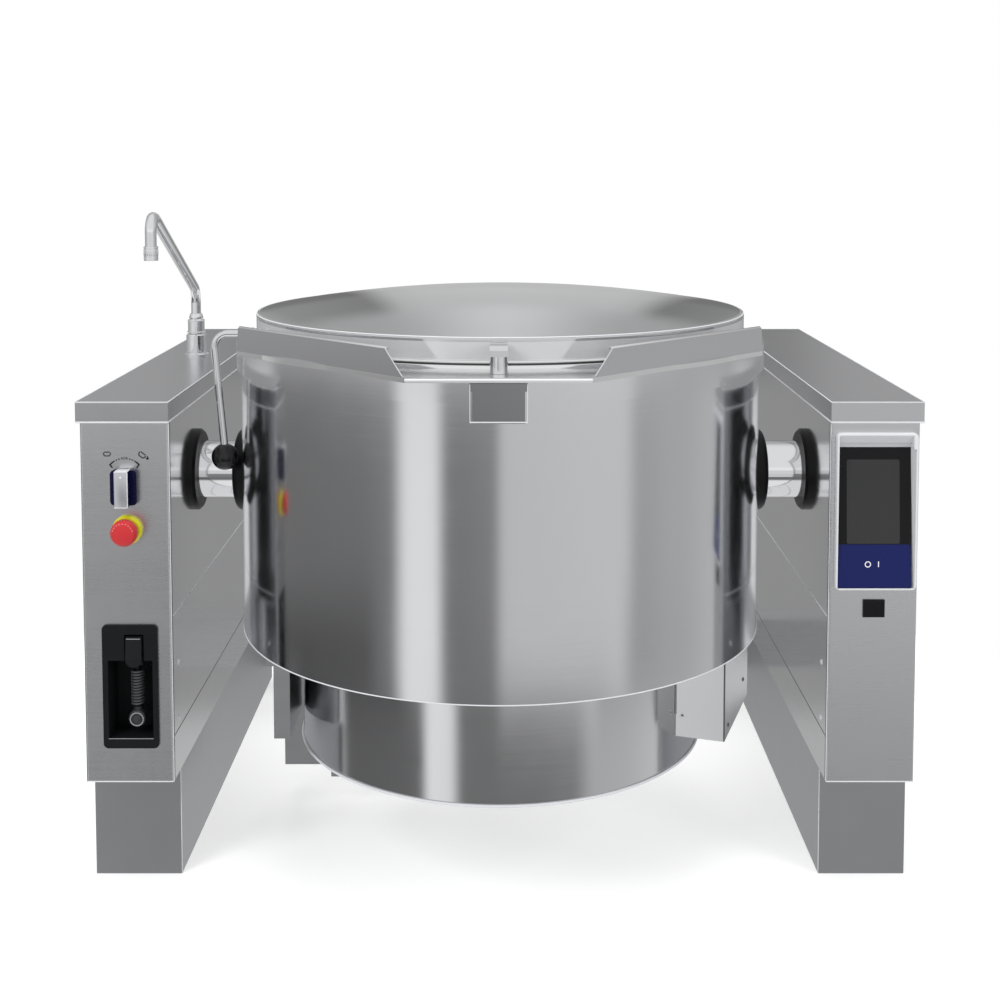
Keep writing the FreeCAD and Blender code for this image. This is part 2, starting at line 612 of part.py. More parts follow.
def rear_panels():
    """Rear panels of both consoles."""
    panels = []
    for side, name in ((-1, "rear_left"), (1, "rear_right")):
        body = new_body(name)
        pad(body, "z", [channel(side, -1, BACK)], "plinth_height", "body_top")
        bend_corners(body, front_y() + size("console_depth"))
        panels.append(body)
    group = DOC.addObject("Part::Compound", "rear_panels")
    group.Links = panels
    node(group, "rear_panels")


def wall_panel(name, side, face, inward, low, high, hole=False):
    """Wall panel of a console, folded in along its top and bottom edges."""
    body = new_body(name)
    inside = f"{face} + {inward} * panel_wall"
    folded = f"{face} + {inward} * panel_return"
    profile = mirrored_loop(side, [
        (face, low), (folded, low), (folded, f"{low} + panel_wall"), (inside, f"{low} + panel_wall"),
        (inside, f"{high} - panel_wall"), (folded, f"{high} - panel_wall"), (folded, high), (face, high)])
    pad(body, "y", [profile], f"{FRONT} + front_return + seam_gap", f"{BACK} - front_return - seam_gap")
    if hole:
        circle = (AXIS_Y, "trunnion_height", "wall_hole")
        cut(body, "x", [circle], *span(side, f"{face} - panel_wall", f"{face} + 2 * panel_wall"))
    node(body, name)


def walls(hand, side):
    """The two inner wall panels and the outer side panel of a console."""
    wall_panel(f"{hand}_lower_wall", side, "console_inner", 1,
               "plinth_height", "seam_height - seam_gap / 2")
    wall_panel(f"{hand}_upper_wall", side, "console_inner", 1,
               "seam_height + seam_gap / 2", "body_top", hole=True)
    wall_panel(f"{hand}_side_panel", side, "(console_inner + console_width)", -1,
               "plinth_height", "body_top")


def cap(name, side):
    """Folded cover cap with an apron all round."""
    body = new_body(name)

    def ring(inset):
        near, far = span(side, f"console_inner + {inset}",
                         f"console_inner + console_width + cap_overhang - {inset}")
        return rectangle(near, far, f"{FRONT} - cap_front_overhang + {inset}",
                         f"{BACK} + cap_rear_overhang - {inset}")

    pad(body, "z", [ring("0")], "body_top", CAP_TOP)
    cut(body, "z", [ring("panel_wall")], "body_top", f"{CAP_TOP} - panel_wall")
    top = size("body_top") + size("cap_height")
    round_edges(body, "cap_bend", lambda edge: min(v.Z for v in edge.Vertexes) > top - 1e-3)
    node(body, name)


def rear_cross_beam():
    """Rectangular tube that ties the plinths together behind the vessel."""
    body = new_body("rear_cross_beam")
    start = f"{AXIS_Y} + beam_front"

    def ring(inset):
        return rectangle(f"{start} + {inset}", f"{start} + beam_depth - {inset}",
                         f"beam_bottom + {inset}", f"beam_bottom + beam_height - {inset}")

    pad(body, "x", [ring("0"), ring("beam_wall")], "-1 * console_inner", "console_inner")
    node(body, "rear_cross_beam")


# Trunnions, bearings and drive
def trunnion(name, side):
    """Hollow trunnion: saddle flange on the jacket, wide tube and stepped journal."""
    body = kettle_body(name, z="trunnion_height")
    inner = "jacket_radius - 40"
    profile = mirrored_loop(side, [
        (inner, "trunnion_bore"), ("journal_end", "trunnion_bore"),
        ("journal_end", "journal_radius"), ("trunnion_end", "journal_radius"),
        ("trunnion_end", "trunnion_radius"), ("saddle_face", "trunnion_radius"),
        ("saddle_face", "saddle_radius"), (inner, "saddle_radius")])
    turn(body, profile, axis="H_Axis")
    turn(body, rectangle("0", "jacket_radius", "-2 * saddle_radius", "2 * saddle_radius"), "Groove")
    node(body, name)


def ring_body(name, side, inner, outer, near, far, bevel):
    """Turn a ring about the tilting axis, bevelled on its outer face."""
    body = kettle_body(name, z="trunnion_height")
    turn(body, mirrored_loop(side, [
        (near, inner), (far, inner), (far, f"{outer} - {bevel}"),
        (f"{far} - {bevel}", outer), (near, outer)]), axis="H_Axis")
    return body


def wall_seals():
    """Rubber rings on the console walls, round the trunnion tubes."""
    rings = []
    for side, name in ((-1, "wall_seal_left"), (1, "wall_seal_right")):
        body = kettle_body(name, z="trunnion_height")
        face = "(console_inner - wall_seal_depth)"
        turn(body, mirrored_loop(side, [
            ("console_inner", "seal_inner"), ("console_inner", "seal_radius"),
            (f"{face} + 5", "seal_radius"), (face, "seal_radius - 5"),
            (face, "seal_inner")]), axis="H_Axis")
        rings.append(body)
    group = DOC.addObject("Part::Compound", "wall_seals")
    group.Links = rings
    node(group, "wall_seals")


def shell_seals():
    """Rubber rings that close the gap between the trunnion tubes and the vessel shell."""
    rings = []
    for side, name in ((-1, "shell_seal_left"), (1, "shell_seal_right")):
        body = ring_body(name, side, "trunnion_radius", "seal_radius",
                         "shell_radius - 30", "shell_seal_face", "5")
        turn(body, rectangle("0", "shell_radius", "-2 * seal_radius", "2 * seal_radius"), "Groove")
        rings.append(body)
    group = DOC.addObject("Part::Compound", "shell_seals")
    group.Links = rings
    node(group, "shell_seals")


def trunnion_bearings():
    """Pillow blocks that stand on the middle rails and carry the journals."""
    blocks = []
    for side, name in ((-1, "bearing_left"), (1, "bearing_right")):
        body = new_body(name)
        places = span(side, "bearing_start", "bearing_start + bearing_width")
        bore = (AXIS_Y, "trunnion_height", "journal_radius + running_gap")
        foot = rectangle(f"{AXIS_Y} - bearing_foot", f"{AXIS_Y} + bearing_foot",
                         "mid_rail_top", "mid_rail_top + foot_height")
        neck = rectangle(f"{AXIS_Y} - bearing_radius * 0.8", f"{AXIS_Y} + bearing_radius * 0.8",
                         "mid_rail_top", "trunnion_height")
        pad(body, "x", [(AXIS_Y, "trunnion_height", "bearing_radius")], *places)
        pad(body, "x", [neck], *places)
        pad(body, "x", [foot], *places)
        cut(body, "x", [bore], *places)
        blocks.append(body)
    group = DOC.addObject("Part::Compound", "trunnion_bearings")
    group.Links = blocks
    node(group, "trunnion_bearings")


PRESSURE_ANGLE = math.radians(20)
FLANK_STEPS = 4


def involute(angle):
    """Return the involute function of an angle."""
    return math.tan(angle) - angle


def tooth_edges(teeth, centre_angle, root_end):
    """Return the edges of one tooth, from its root on one side to the next tooth's root."""
    module = size("gear_module")
    pitch = module * teeth / 2
    base = pitch * math.cos(PRESSURE_ANGLE)
    tip = pitch + module
    root = pitch - 1.25 * module
    half = math.pi / (2 * teeth) - size("backlash") / (4 * pitch) + involute(PRESSURE_ANGLE)

    def flank_point(radius, side):
        turned = half - involute(math.acos(min(1, base / radius)))
        angle = centre_angle + side * turned
        return Vector(0, radius * math.cos(angle), radius * math.sin(angle))

    start = max(root, base)
    radii = [start + (tip - start) * n / FLANK_STEPS for n in range(FLANK_STEPS + 1)]
    rising, falling = Part.BSplineCurve(), Part.BSplineCurve()
    rising.interpolate([flank_point(radius, -1) for radius in radii])
    falling.interpolate([flank_point(radius, 1) for radius in reversed(radii)])
    edges = [rising.toShape(), Part.LineSegment(flank_point(tip, -1), flank_point(tip, 1)).toShape(),
             falling.toShape()]
    low = flank_point(start, -1)
    high = flank_point(start, 1)
    if root < base:
        low_root = low * (root / base)
        high_root = high * (root / base)
        edges.insert(0, Part.LineSegment(low_root, low).toShape())
        edges.append(Part.LineSegment(high, high_root).toShape())
        low, high = low_root, high_root
    return edges, low, high


def toothed_face(teeth, angles):
    """Return the tooth edges at several angles joined by their root lines, with both ends."""
    edges = []
    first = last = None
    for angle in angles:
        tooth, low, high = tooth_edges(teeth, angle, None)
        if last is not None:
            edges.append(Part.LineSegment(last, low).toShape())
        else:
            first = low
        edges += tooth
        last = high
    return edges, first, last


def sector_gear():
    """Toothed sector keyed to the left journal, meshing with the drive pinion behind it."""
    teeth = int(size("sector_teeth"))
    pitch_angle = 360 / teeth
    count = int((size("sector_to") - size("sector_from")) / pitch_angle) + 1
    start = math.ceil(size("sector_from") / pitch_angle) * pitch_angle
    angles = [math.radians(start + number * pitch_angle) for number in range(count)]
    edges, first, last = toothed_face(teeth, angles)
    web = Part.Wire(edges + [Part.LineSegment(last, Vector()).toShape(),
                             Part.LineSegment(Vector(), first).toShape()])
    width = Vector(size("gear_width"), 0, 0)
    blank = Part.Face(web).extrude(width)
    along = Vector(1, 0, 0)
    extra = size("hub_extra")
    hub = Part.makeCylinder(size("hub_radius"), size("gear_width") + 2 * extra, Vector(-extra, 0, 0), along)
    shape = blank.fuse(hub)
    bore_start = Vector(-2 * extra, 0, 0)
    bore_length = size("gear_width") + 4 * extra
    shape = shape.cut(Part.makeCylinder(size("journal_radius"), bore_length, bore_start, along))
    reach = (size("hub_radius") + size("gear_module") * teeth / 2) / 2
    for step in (0.2, 0.5, 0.8):
        angle = angles[0] + (angles[-1] - angles[0]) * step
        place = Vector(-extra, reach * math.cos(angle), reach * math.sin(angle))
        shape = shape.cut(Part.makeCylinder(size("hub_radius") * 0.45, bore_length, place, along))
    gear = DOC.addObject("Part::Feature", "sector_gear")
    gear.Shape = shape.removeSplitter()
    gear.Placement = Placement()
    bind(gear, Placement__Base__x="-1 * (gear_start + gear_width)", Placement__Base__y=AXIS_Y,
         Placement__Base__z="trunnion_height")
    node(gear, "sector_gear")


def drive_pinion():
    """Pinion with its shaft, whose tooth gap faces the middle tooth of the sector."""
    teeth = int(size("pinion_teeth"))
    pitch_angle = 2 * math.pi / teeth
    angles = [math.pi + (number + 0.5) * pitch_angle for number in range(teeth)]
    edges, first, last = toothed_face(teeth, angles)
    blank = Part.Face(Part.Wire(edges + [Part.LineSegment(last, first).toShape()]))
    shape = blank.extrude(Vector(size("gear_width"), 0, 0))
    free = size("gear_start") - size("gearbox_start") - size("gearbox_width")
    length = free + size("shaft_depth") - size("seat_gap")
    shaft = Part.makeCylinder(size("pinion_shaft"), length, Vector(size("gear_width"), 0, 0), Vector(1, 0, 0))
    pinion = DOC.addObject("Part::Feature", "drive_pinion")
    pinion.Shape = blank.extrude(Vector(size("gear_width"), 0, 0)).fuse(shaft).removeSplitter()
    pinion.Placement = Placement()
    bind(pinion, Placement__Base__x="-1 * (gear_start + gear_width)",
         Placement__Base__y=f"{AXIS_Y} + {GEAR_DISTANCE}", Placement__Base__z="trunnion_height")
    node(pinion, "drive_pinion")


def gear_motor():
    """Gearbox on its foot with the tilt motor behind it."""
    body = new_body("gear_motor")
    middle = f"({AXIS_Y} + {GEAR_DISTANCE})"
    places = span(-1, "gearbox_start", "gearbox_start + gearbox_width")
    front, back = f"{middle} - gearbox_half", f"{middle} + gearbox_half"
    pad(body, "x", [rectangle(front, back, "mid_rail_top", "gearbox_top")], *places)
    pad(body, "x", [rectangle(front, back, "mid_rail_top", "mid_rail_top + foot_height")],
        *span(-1, "bearing_start", "gearbox_start + gearbox_width"))
    across = "-1 * (gearbox_start + gearbox_width / 2)"
    pad(body, "y", [(across, "trunnion_height", "motor_radius")], back, f"{back} + motor_length")
    pad(body, "y", [(across, "trunnion_height", "motor_radius + 3")],
        f"{back} + motor_length - fan_cover", f"{back} + motor_length")
    cut(body, "x", [(middle, "trunnion_height", "pinion_shaft + running_gap")],
        "-1 * (gearbox_start + gearbox_width)", "-1 * (gearbox_start + gearbox_width - shaft_depth)")
    node(body, "gear_motor")


# Vessel
def inner_vessel():
    """Boiling vessel with a straight wall and a dished bottom."""
    body = kettle_body("inner_vessel")
    turn(body, [
        ("0", "bowl_bottom", "dome"), ("bowl_radius", "bowl_bottom + bowl_dish"),
        ("bowl_radius", FLANGE_TOP), ("bowl_radius - bowl_wall", FLANGE_TOP),
        ("bowl_radius - bowl_wall", "bowl_bottom + bowl_dish", "dome"),
        ("0", "bowl_bottom + bowl_wall")])
    node(body, "inner_vessel")


def steam_jacket():
    """Steam jacket: wide upper part, shoulder and narrow sump with a dished bottom."""
    body = kettle_body("steam_jacket")
    inner = "jacket_radius - jacket_wall"
    sump = "sump_radius - jacket_wall"
    turn(body, [
        ("0", "sump_bottom", "dome"), ("sump_radius", "sump_bottom + sump_dish"),
        ("sump_radius", "jacket_waist"), ("jacket_radius", "jacket_shoulder"),
        ("jacket_radius", "jacket_top"), ("bowl_radius + seat_gap", "jacket_top"),
        ("bowl_radius + seat_gap", "jacket_top - jacket_wall"), (inner, "jacket_top - jacket_wall"),
        (inner, "jacket_shoulder + jacket_wall"), (sump, "jacket_waist + jacket_wall"),
        (sump, "sump_bottom + sump_dish", "dome"), ("0", "sump_bottom + jacket_wall")])
    node(body, "steam_jacket")


def upper_shell():
    """Outer shell of the vessel with a flat floor ring and a hole for each trunnion."""
    body = kettle_body("upper_shell")
    inner = "shell_radius - shell_wall"
    floor = "lower_radius + seat_gap"
    turn(body, [
        (floor, "shell_bottom"), ("shell_radius", "shell_bottom"), ("shell_radius", "band_bottom"),
        (inner, "band_bottom"), (inner, "shell_bottom + shell_wall"), (floor, "shell_bottom + shell_wall")])
    hole = [("0", "trunnion_height", "trunnion_radius + seat_gap")]
    cut(body, "x", hole, "0 - shell_radius - shell_wall", "shell_radius + shell_wall")
    node(body, "upper_shell")


def lower_shell():
    """Drawn pan that closes the vessel below, with a rolled bead round its foot."""
    body = kettle_body("lower_shell")
    inner = "lower_radius - shell_wall"
    bead_top = "lower_bottom + lower_bead"
    turn(body, [
        ("0", "lower_bottom"), ("lower_radius + shell_wall", "lower_bottom"),
        ("lower_radius + shell_wall", bead_top), ("lower_radius", bead_top),
        ("lower_radius", "shell_bottom + 2 * shell_wall"), (inner, "shell_bottom + 2 * shell_wall"),
        (inner, "lower_bottom + shell_wall"), ("0", "lower_bottom + shell_wall")])
    node(body, "lower_shell")


def rim_band():
    """Band round the top of the vessel, folded in at its foot over the shell."""
    body = kettle_body("rim_band")
    inner = "band_radius - shell_wall"
    floor = "shell_radius - shell_wall"
    turn(body, [
        (floor, "band_bottom"), ("band_radius", "band_bottom"), ("band_radius", "band_top"),
        (inner, "band_top"), (inner, "band_bottom + shell_wall"), (floor, "band_bottom + shell_wall")])
    node(body, "rim_band")


def pouring_flange():
    """Flange on the rim that widens into the straight pouring lip."""
    body = kettle_body("pouring_flange")
    diagonal = "(shell_radius * sqrt(2))"
    heel = "((shell_radius + guard_rear) / sqrt(2))"
    lip = [
        ("-1 * lip_half_width", "-1 * lip_reach"), ("lip_half_width", "-1 * lip_reach"),
        (heel, f"{heel} - {diagonal}"), (f"{heel} - 14", "-1 * shell_radius / 4"),
        (f"14 - {heel}", "-1 * shell_radius / 4"), (f"-1 * {heel}", f"{heel} - {diagonal}")]
    pad(body, "z", [("0", "0", "band_radius")], "band_top", FLANGE_TOP)
    pad(body, "z", [lip], "band_top", FLANGE_TOP)
    cut(body, "z", [("0", "0", "bowl_radius + seat_gap")], "band_top", FLANGE_TOP)
    node(body, "pouring_flange")


def pour_guard(name, side):
    """Upright guard along one edge of the lip, with a folded top edge and a slanted front end."""
    turned = Rotation(Vector(0, 0, 1), -135 if side > 0 else -45)
    foot = "shell_radius / sqrt(2)"
    body = new_body(name, sided(side, foot), f"{AXIS_Y} - {foot}", FLANGE_TOP, turned)
    plate = [
        ("-1 * guard_rear", "0"), ("guard_front", "0"),
        ("guard_front - guard_slant", "guard_height"), ("-1 * guard_rear + 4", "guard_height")]
    fold = rectangle("-1 * guard_rear + 4", "guard_front - guard_slant",
                     "guard_height - guard_wall", "guard_height")
    pad(body, "y", [plate], *span(side, "-1 * guard_wall", "0"))
    pad(body, "y", [fold], *span(side, "-1 * guard_lip", "0"))
    node(body, name)


def lip_bracket():
    """Box under the lip, fitted to the shell and the rim band, with a collar at its top."""
    body = kettle_body("lip_bracket")
    wide = "bracket_half_width + bracket_collar"
    pad(body, "z", [rectangle("-1 * bracket_half_width", "bracket_half_width",
                              "-1 * bracket_reach", "-1 * shell_radius * 0.98")],
        "bracket_bottom", "bracket_collar_bottom")
    pad(body, "z", [rectangle(f"-1 * ({wide})", wide, "-1 * bracket_reach - 1", "-1 * shell_radius * 0.98")],
        "bracket_collar_bottom", "bracket_collar_top")
    turn(body, [
        ("0", "bracket_bottom - 5"), ("shell_radius + seat_gap", "bracket_bottom - 5"),
        ("shell_radius + seat_gap", "band_bottom - seat_gap"),
        ("band_radius + seat_gap", "band_bottom - seat_gap"),
        ("band_radius + seat_gap", "bracket_collar_top + 5"), ("0", "bracket_collar_top + 5")], "Groove")
    node(body, "lip_bracket")


def lid_latch():
    """Turning latch: round post with a bevelled head whose nose reaches over the lid bead."""
    body = kettle_body("lid_latch")
    pad(body, "z", [("0", "-1 * latch_reach", "latch_radius")],
        f"{FLANGE_TOP} + seat_gap", "latch_head_top")
    head = rectangle("-1 * latch_radius", "latch_radius",
                     "-1 * latch_reach - latch_radius", "latch_nose - latch_reach")
    pad(body, "z", [head], "latch_head_bottom", "latch_head_top")
    front = "-1 * latch_reach - latch_radius"
    bevel = [(front, "latch_head_top - latch_bevel"), (f"{front} + latch_bevel", "latch_head_top"),
             (front, "latch_head_top")]
    cut(body, "x", [bevel], "-1 * latch_radius", "latch_radius")
    corner = "latch_nose + latch_radius"
    nose = [rectangle(f"-1 * ({corner})", corner, f"-1 * latch_reach - ({corner})", f"{corner} - latch_reach"),
            ("0", "-1 * latch_reach", "latch_nose")]
    cut(body, "z", nose, "latch_head_bottom", "latch_head_top")
    node(body, "lid_latch")


def service_box():
    """Folded cover beside the lower shell, open towards it."""
    turned = Rotation(Vector(0, 0, 1), -size("box_angle"))
    body = kettle_body("service_box", rotation=turned)
    inside = "lower_radius * 0.85"
    top = "shell_bottom - seat_gap"
    pad(body, "z", [rectangle(inside, "box_reach", "-1 * box_front", "box_rear")], "box_bottom", top)
    cut(body, "z", [rectangle(f"{inside} - 5", "box_reach - cover_wall",
                              "cover_wall - box_front", "box_rear - cover_wall")],
        "box_bottom + cover_wall", top)
    cut(body, "z", [("0", "0", "lower_radius + seat_gap")], "box_bottom", top)
    node(body, "service_box")


def pipe_duct():
    """Narrow folded duct beside the lower shell, open at the rear."""
    body = kettle_body("pipe_duct")
    inner = "duct_width - duct_outer"
    top = "shell_bottom - seat_gap"
    pad(body, "z", [rectangle("-1 * duct_outer", inner, "-1 * duct_front", "-1 * duct_rear")],
        "duct_bottom", top)
    cut(body, "z", [rectangle("cover_wall - duct_outer", f"{inner} - cover_wall",
                              "cover_wall - duct_front", "-1 * duct_rear")],
        "duct_bottom + cover_wall", top)
    node(body, "pipe_duct")


def terminal_box():
    """Stepped box under the rear of the vessel, with a cable riser beside the lower shell."""
    body = kettle_body("terminal_box")
    top = "shell_bottom - seat_gap"
    under = "lower_bottom - seat_gap"
    pad(body, "z", [rectangle("-1 * terminal_outer", "-1 * terminal_inner",
                              "terminal_front", "terminal_rear")], "terminal_bottom", top)
    pad(body, "z", [rectangle("-1 * tray_outer", "-1 * terminal_inner",
                              "terminal_front", "terminal_rear")], "tray_bottom", "terminal_bottom")
    cut(body, "z", [("0", "0", "lower_radius + shell_wall + seat_gap")], under, top)
    hollow = [
        ("cover_wall - terminal_outer", "terminal_bottom + cover_wall"),
        ("-1 * (terminal_inner + cover_wall)", "terminal_bottom + cover_wall"),
        ("-1 * (terminal_inner + cover_wall)", f"{under} - cover_wall"),
        ("-1 * riser_inner", f"{under} - cover_wall"),
        ("-1 * riser_inner", f"{top} - cover_wall"),
        ("cover_wall - terminal_outer", f"{top} - cover_wall")]
    cut(body, "y", [hollow], "terminal_front + cover_wall", "terminal_rear")
    node(body, "terminal_box")


def rod_wire(points, bends):
    """Return a path of straight runs joined by tangent arcs at the inner points."""
    edges = []
    start = points[0]
    for before, corner, after, bend in zip(points, points[1:], points[2:], bends):
        back = (before - corner).normalize()
        onward = (after - corner).normalize()
        opening = math.acos(max(-1, min(1, back.dot(onward))))
        trim = bend / math.tan(opening / 2)
        middle = (back + onward).normalize()
        centre = corner + middle * (bend / math.sin(opening / 2))
        arc_start, arc_end = corner + back * trim, corner + onward * trim
        edges.append(Part.LineSegment(start, arc_start).toShape())
        edges.append(Part.Arc(arc_start, centre - middle * bend, arc_end).toShape())
        start = arc_end
    edges.append(Part.LineSegment(start, points[-1]).toShape())
    return Part.Wire(edges)


def round_rod(points, bends, radius):
    """Sweep a round section along a path of straight runs and bends."""
    path = rod_wire(points, bends)
    direction = (points[1] - points[0]).normalize()
    section = Part.Wire(Part.Circle(points[0], direction, radius).toShape())
    return path.makePipeShell([section], True, True)


def heating_elements():
    """Immersion heater: a flange on the sump wall with three nested hairpins."""
    body_radius = size("sump_radius") - size("jacket_wall")
    level = 0.45 * size("sump_bottom") + 0.55 * size("bowl_bottom")
    flange_radius = 33
    tube = 4
    flange_front = math.sqrt(body_radius ** 2 - flange_radius ** 2) - 14
    shape = Part.makeCylinder(flange_radius, 13.5, Vector(0, flange_front, 0), Vector(0, 1, 0))
    for half, reach in ((7, -150), (16, -190), (25, -230)):
        bend = half - 0.2
        rod = round_rod([Vector(-half, flange_front, 0), Vector(-half, reach, 0),
                         Vector(half, reach, 0), Vector(half, flange_front, 0)], [bend, bend], tube)
        shape = shape.fuse(rod)
    heater = DOC.addObject("Part::Feature", "heating_elements")
    heater.Shape = shape
    heater.Placement = Placement(Vector(0, 0, level), Rotation())
    bind(heater, Placement__Base__y=AXIS_Y)
    node(heater, "heating_elements")


# Lid
def lid_shell():
    """Domed lid skin with a rolled shoulder, a skirt and a bead at its foot."""
    body = kettle_body("lid_shell")
    inner = "lid_radius - lid_wall"
    roll = "lid_radius - lid_roll"
    roll_top = "lid_shoulder + lid_roll * 0.7"
    bead = "lid_radius + lid_bead"
    bead_top = "lid_bottom + lid_bead"
    turn(body, [
        ("0", "lid_top", "dome"), (roll, roll_top), ("lid_radius - lid_roll * 0.25", "lid_shoulder + lid_roll * 0.4"),
        ("lid_radius", "lid_shoulder"), ("lid_radius", bead_top), (bead, bead_top), (bead, "lid_bottom"),
        (inner, "lid_bottom"), (inner, "lid_shoulder - lid_wall"),
        (f"{roll} - lid_wall", f"{roll_top} - lid_wall", "dome"), ("0", "lid_top - lid_wall")])
    node(body, "lid_shell")


def lid_liner():
    """Inner skin of the lid, dished upwards inside a flat rim."""
    body = kettle_body("lid_liner")
    rim = "gasket_inner - lid_wall"
    turn(body, [
        ("0", "liner_top", "dome"), (rim, "liner_rim"), ("lid_radius - lid_wall - seat_gap", "liner_rim"),
        ("lid_radius - lid_wall - seat_gap", "liner_rim - lid_wall"), (rim, "liner_rim - lid_wall", "dome"),
        ("0", "liner_top - lid_wall")])
    node(body, "lid_liner")


def lid_gasket():
    """Seal between the rim of the lid liner and the pouring flange."""
    body = kettle_body("lid_gasket")
    outer = "gasket_inner + gasket_width"
    low = f"{FLANGE_TOP} + seat_gap"
    top = "liner_rim - lid_wall"
    turn(body, [
        ("gasket_inner + gasket_width / 3", low), (f"{outer} - gasket_width / 3", low),
        (outer, f"{low} + gasket_width / 3"), (outer, top), ("gasket_inner", top),
        ("gasket_inner", f"{low} + gasket_width / 3")])
    node(body, "lid_gasket")


def lid_hinge_bracket():
    """Bracket on the rear of the rim band: a plate, two lugs and the hinge pin."""
    body = kettle_body("lid_hinge_bracket")
    lug_start = "arm_start + arm_width + lug_gap"
    lug_end = f"{lug_start} + lug_width"
    low = "band_bottom + 8"
    lug = [
        ("band_radius - 4", low), ("band_radius + 20", low),
        ("hinge_reach + knuckle_radius", "hinge_height - knuckle_radius / 2"),
        ("hinge_reach - knuckle_radius", "hinge_height + knuckle_radius / 2"),
        ("band_radius + seat_gap", f"{FLANGE_TOP} + 5")]
    plate = rectangle("band_radius - 12", "band_radius + 7", low, "band_top - seat_gap")
    pad(body, "x", [plate], f"-1 * ({lug_end})", lug_end)
    for side in (-1, 1):
        pad(body, "x", [lug], *span(side, lug_start, lug_end))
        pad(body, "x", [("hinge_reach", "hinge_height", "knuckle_radius")], *span(side, lug_start, lug_end))
    pad(body, "x", [("hinge_reach", "hinge_height", "pin_radius")],
        f"-1 * ({lug_end} + 3)", f"{lug_end} + 3")
    turn(body, rectangle("0", "band_radius + seat_gap", f"{low} - 5", f"{FLANGE_TOP} + 30"), "Groove")
    node(body, "lid_hinge_bracket")


def lid_hinge_arms():
    """Two arms from the rear of the lid skirt to the hinge pin."""
    arms = []
    for side, name in ((-1, "arm_left"), (1, "arm_right")):
        body = kettle_body(name)
        places = span(side, "arm_start", "arm_start + arm_width")
        bar = rectangle("lid_radius * 0.97", "hinge_reach", "hinge_height - knuckle_radius",
                        "hinge_height + knuckle_radius")
        pad(body, "x", [bar], *places)
        pad(body, "x", [("hinge_reach", "hinge_height", "knuckle_radius")], *places)
        cut(body, "x", [("hinge_reach", "hinge_height", "pin_radius + running_gap")], *places)
        turn(body, rectangle("0", "lid_radius", "hinge_height - 2 * knuckle_radius",
                             "hinge_height + 2 * knuckle_radius"), "Groove")
        arms.append(body)
    group = DOC.addObject("Part::Compound", "lid_hinge_arms")
    group.Links = arms
    node(group, "lid_hinge_arms")


def lid_handle():
    """Handle rod: out from the lid skirt over the rim, then down to the ball."""
    forward = -size("handle_forward")
    skirt = math.sqrt(size("lid_radius") ** 2 - forward ** 2)
    level = size("handle_height")
    radius = size("handle_radius")
    end_level = size("ball_height") + size("ball_radius") / 2
    points = [Vector(-skirt + 12, forward, level), Vector(-size("handle_reach"), forward, level),
              Vector(-size("ball_reach"), forward, end_level)]
    rod = round_rod(points, [size("handle_bend")], radius)
    boss = Part.makeCylinder(radius + 4, 24, Vector(-skirt + 12, forward, level), Vector(-1, 0, 0))
    zone_radius = size("lid_radius") + size("lid_bead")
    bead_zone = Part.makeCylinder(zone_radius, 8 * radius, Vector(0, 0, level - 4 * radius))
    handle = DOC.addObject("Part::Feature", "lid_handle")
    handle.Shape = rod.fuse(boss).cut(bead_zone).removeSplitter()
    handle.Placement = Placement()
    bind(handle, Placement__Base__y=AXIS_Y)
    node(handle, "lid_handle")


def handle_ball():
    """Ball on the end of the lid handle, bored for the rod."""
    ball = DOC.addObject("Part::Sphere", "ball_blank")
    bind(ball, Radius="ball_radius", Placement__Base__x="-1 * ball_reach",
         Placement__Base__y=f"{AXIS_Y} - handle_forward", Placement__Base__z="ball_height")
    bore = DOC.addObject("Part::Cylinder", "ball_bore")
    bore.Placement = Placement(Vector(), Rotation(Vector(0, -1, 0), 5))
    rise = "(handle_height - ball_height - ball_radius / 2)"
    bind(bore, Radius="handle_radius + seat_gap", Height="2 * ball_radius", Placement__Base__x="-1 * ball_reach",
         Placement__Base__y=f"{AXIS_Y} - handle_forward", Placement__Base__z="ball_height + ball_radius / 2 - 1",
         Placement__Rotation__Angle=f"atan((handle_reach - ball_reach) / {rise})")
    bored = DOC.addObject("Part::Cut", "handle_ball")
    bored.Base = ball
    bored.Tool = bore
    node(bored, "handle_ball")


# Tap
def tap_base():
    """Tap body with a flange at its foot and a collar nut that holds the spout."""
    body = new_body("tap_base", "-1 * tap_reach", f"{AXIS_Y} + tap_rear", CAP_TOP)
    bore = "spout_radius + running_gap"
    height = "(tap_body_height + nut_height)"
    turn(body, [
        ("0", "0"), ("tap_radius + 5", "0"), ("tap_radius + 5", "4"), ("tap_radius", "7"),
        ("tap_radius", "tap_body_height - 4"), ("nut_radius", "tap_body_height"),
        ("nut_radius", f"{height} - 3"), ("nut_radius - 3", height), (bore, height),
        (bore, f"{height} - stem_depth"), ("0", f"{height} - stem_depth")])
    node(body, "tap_base")


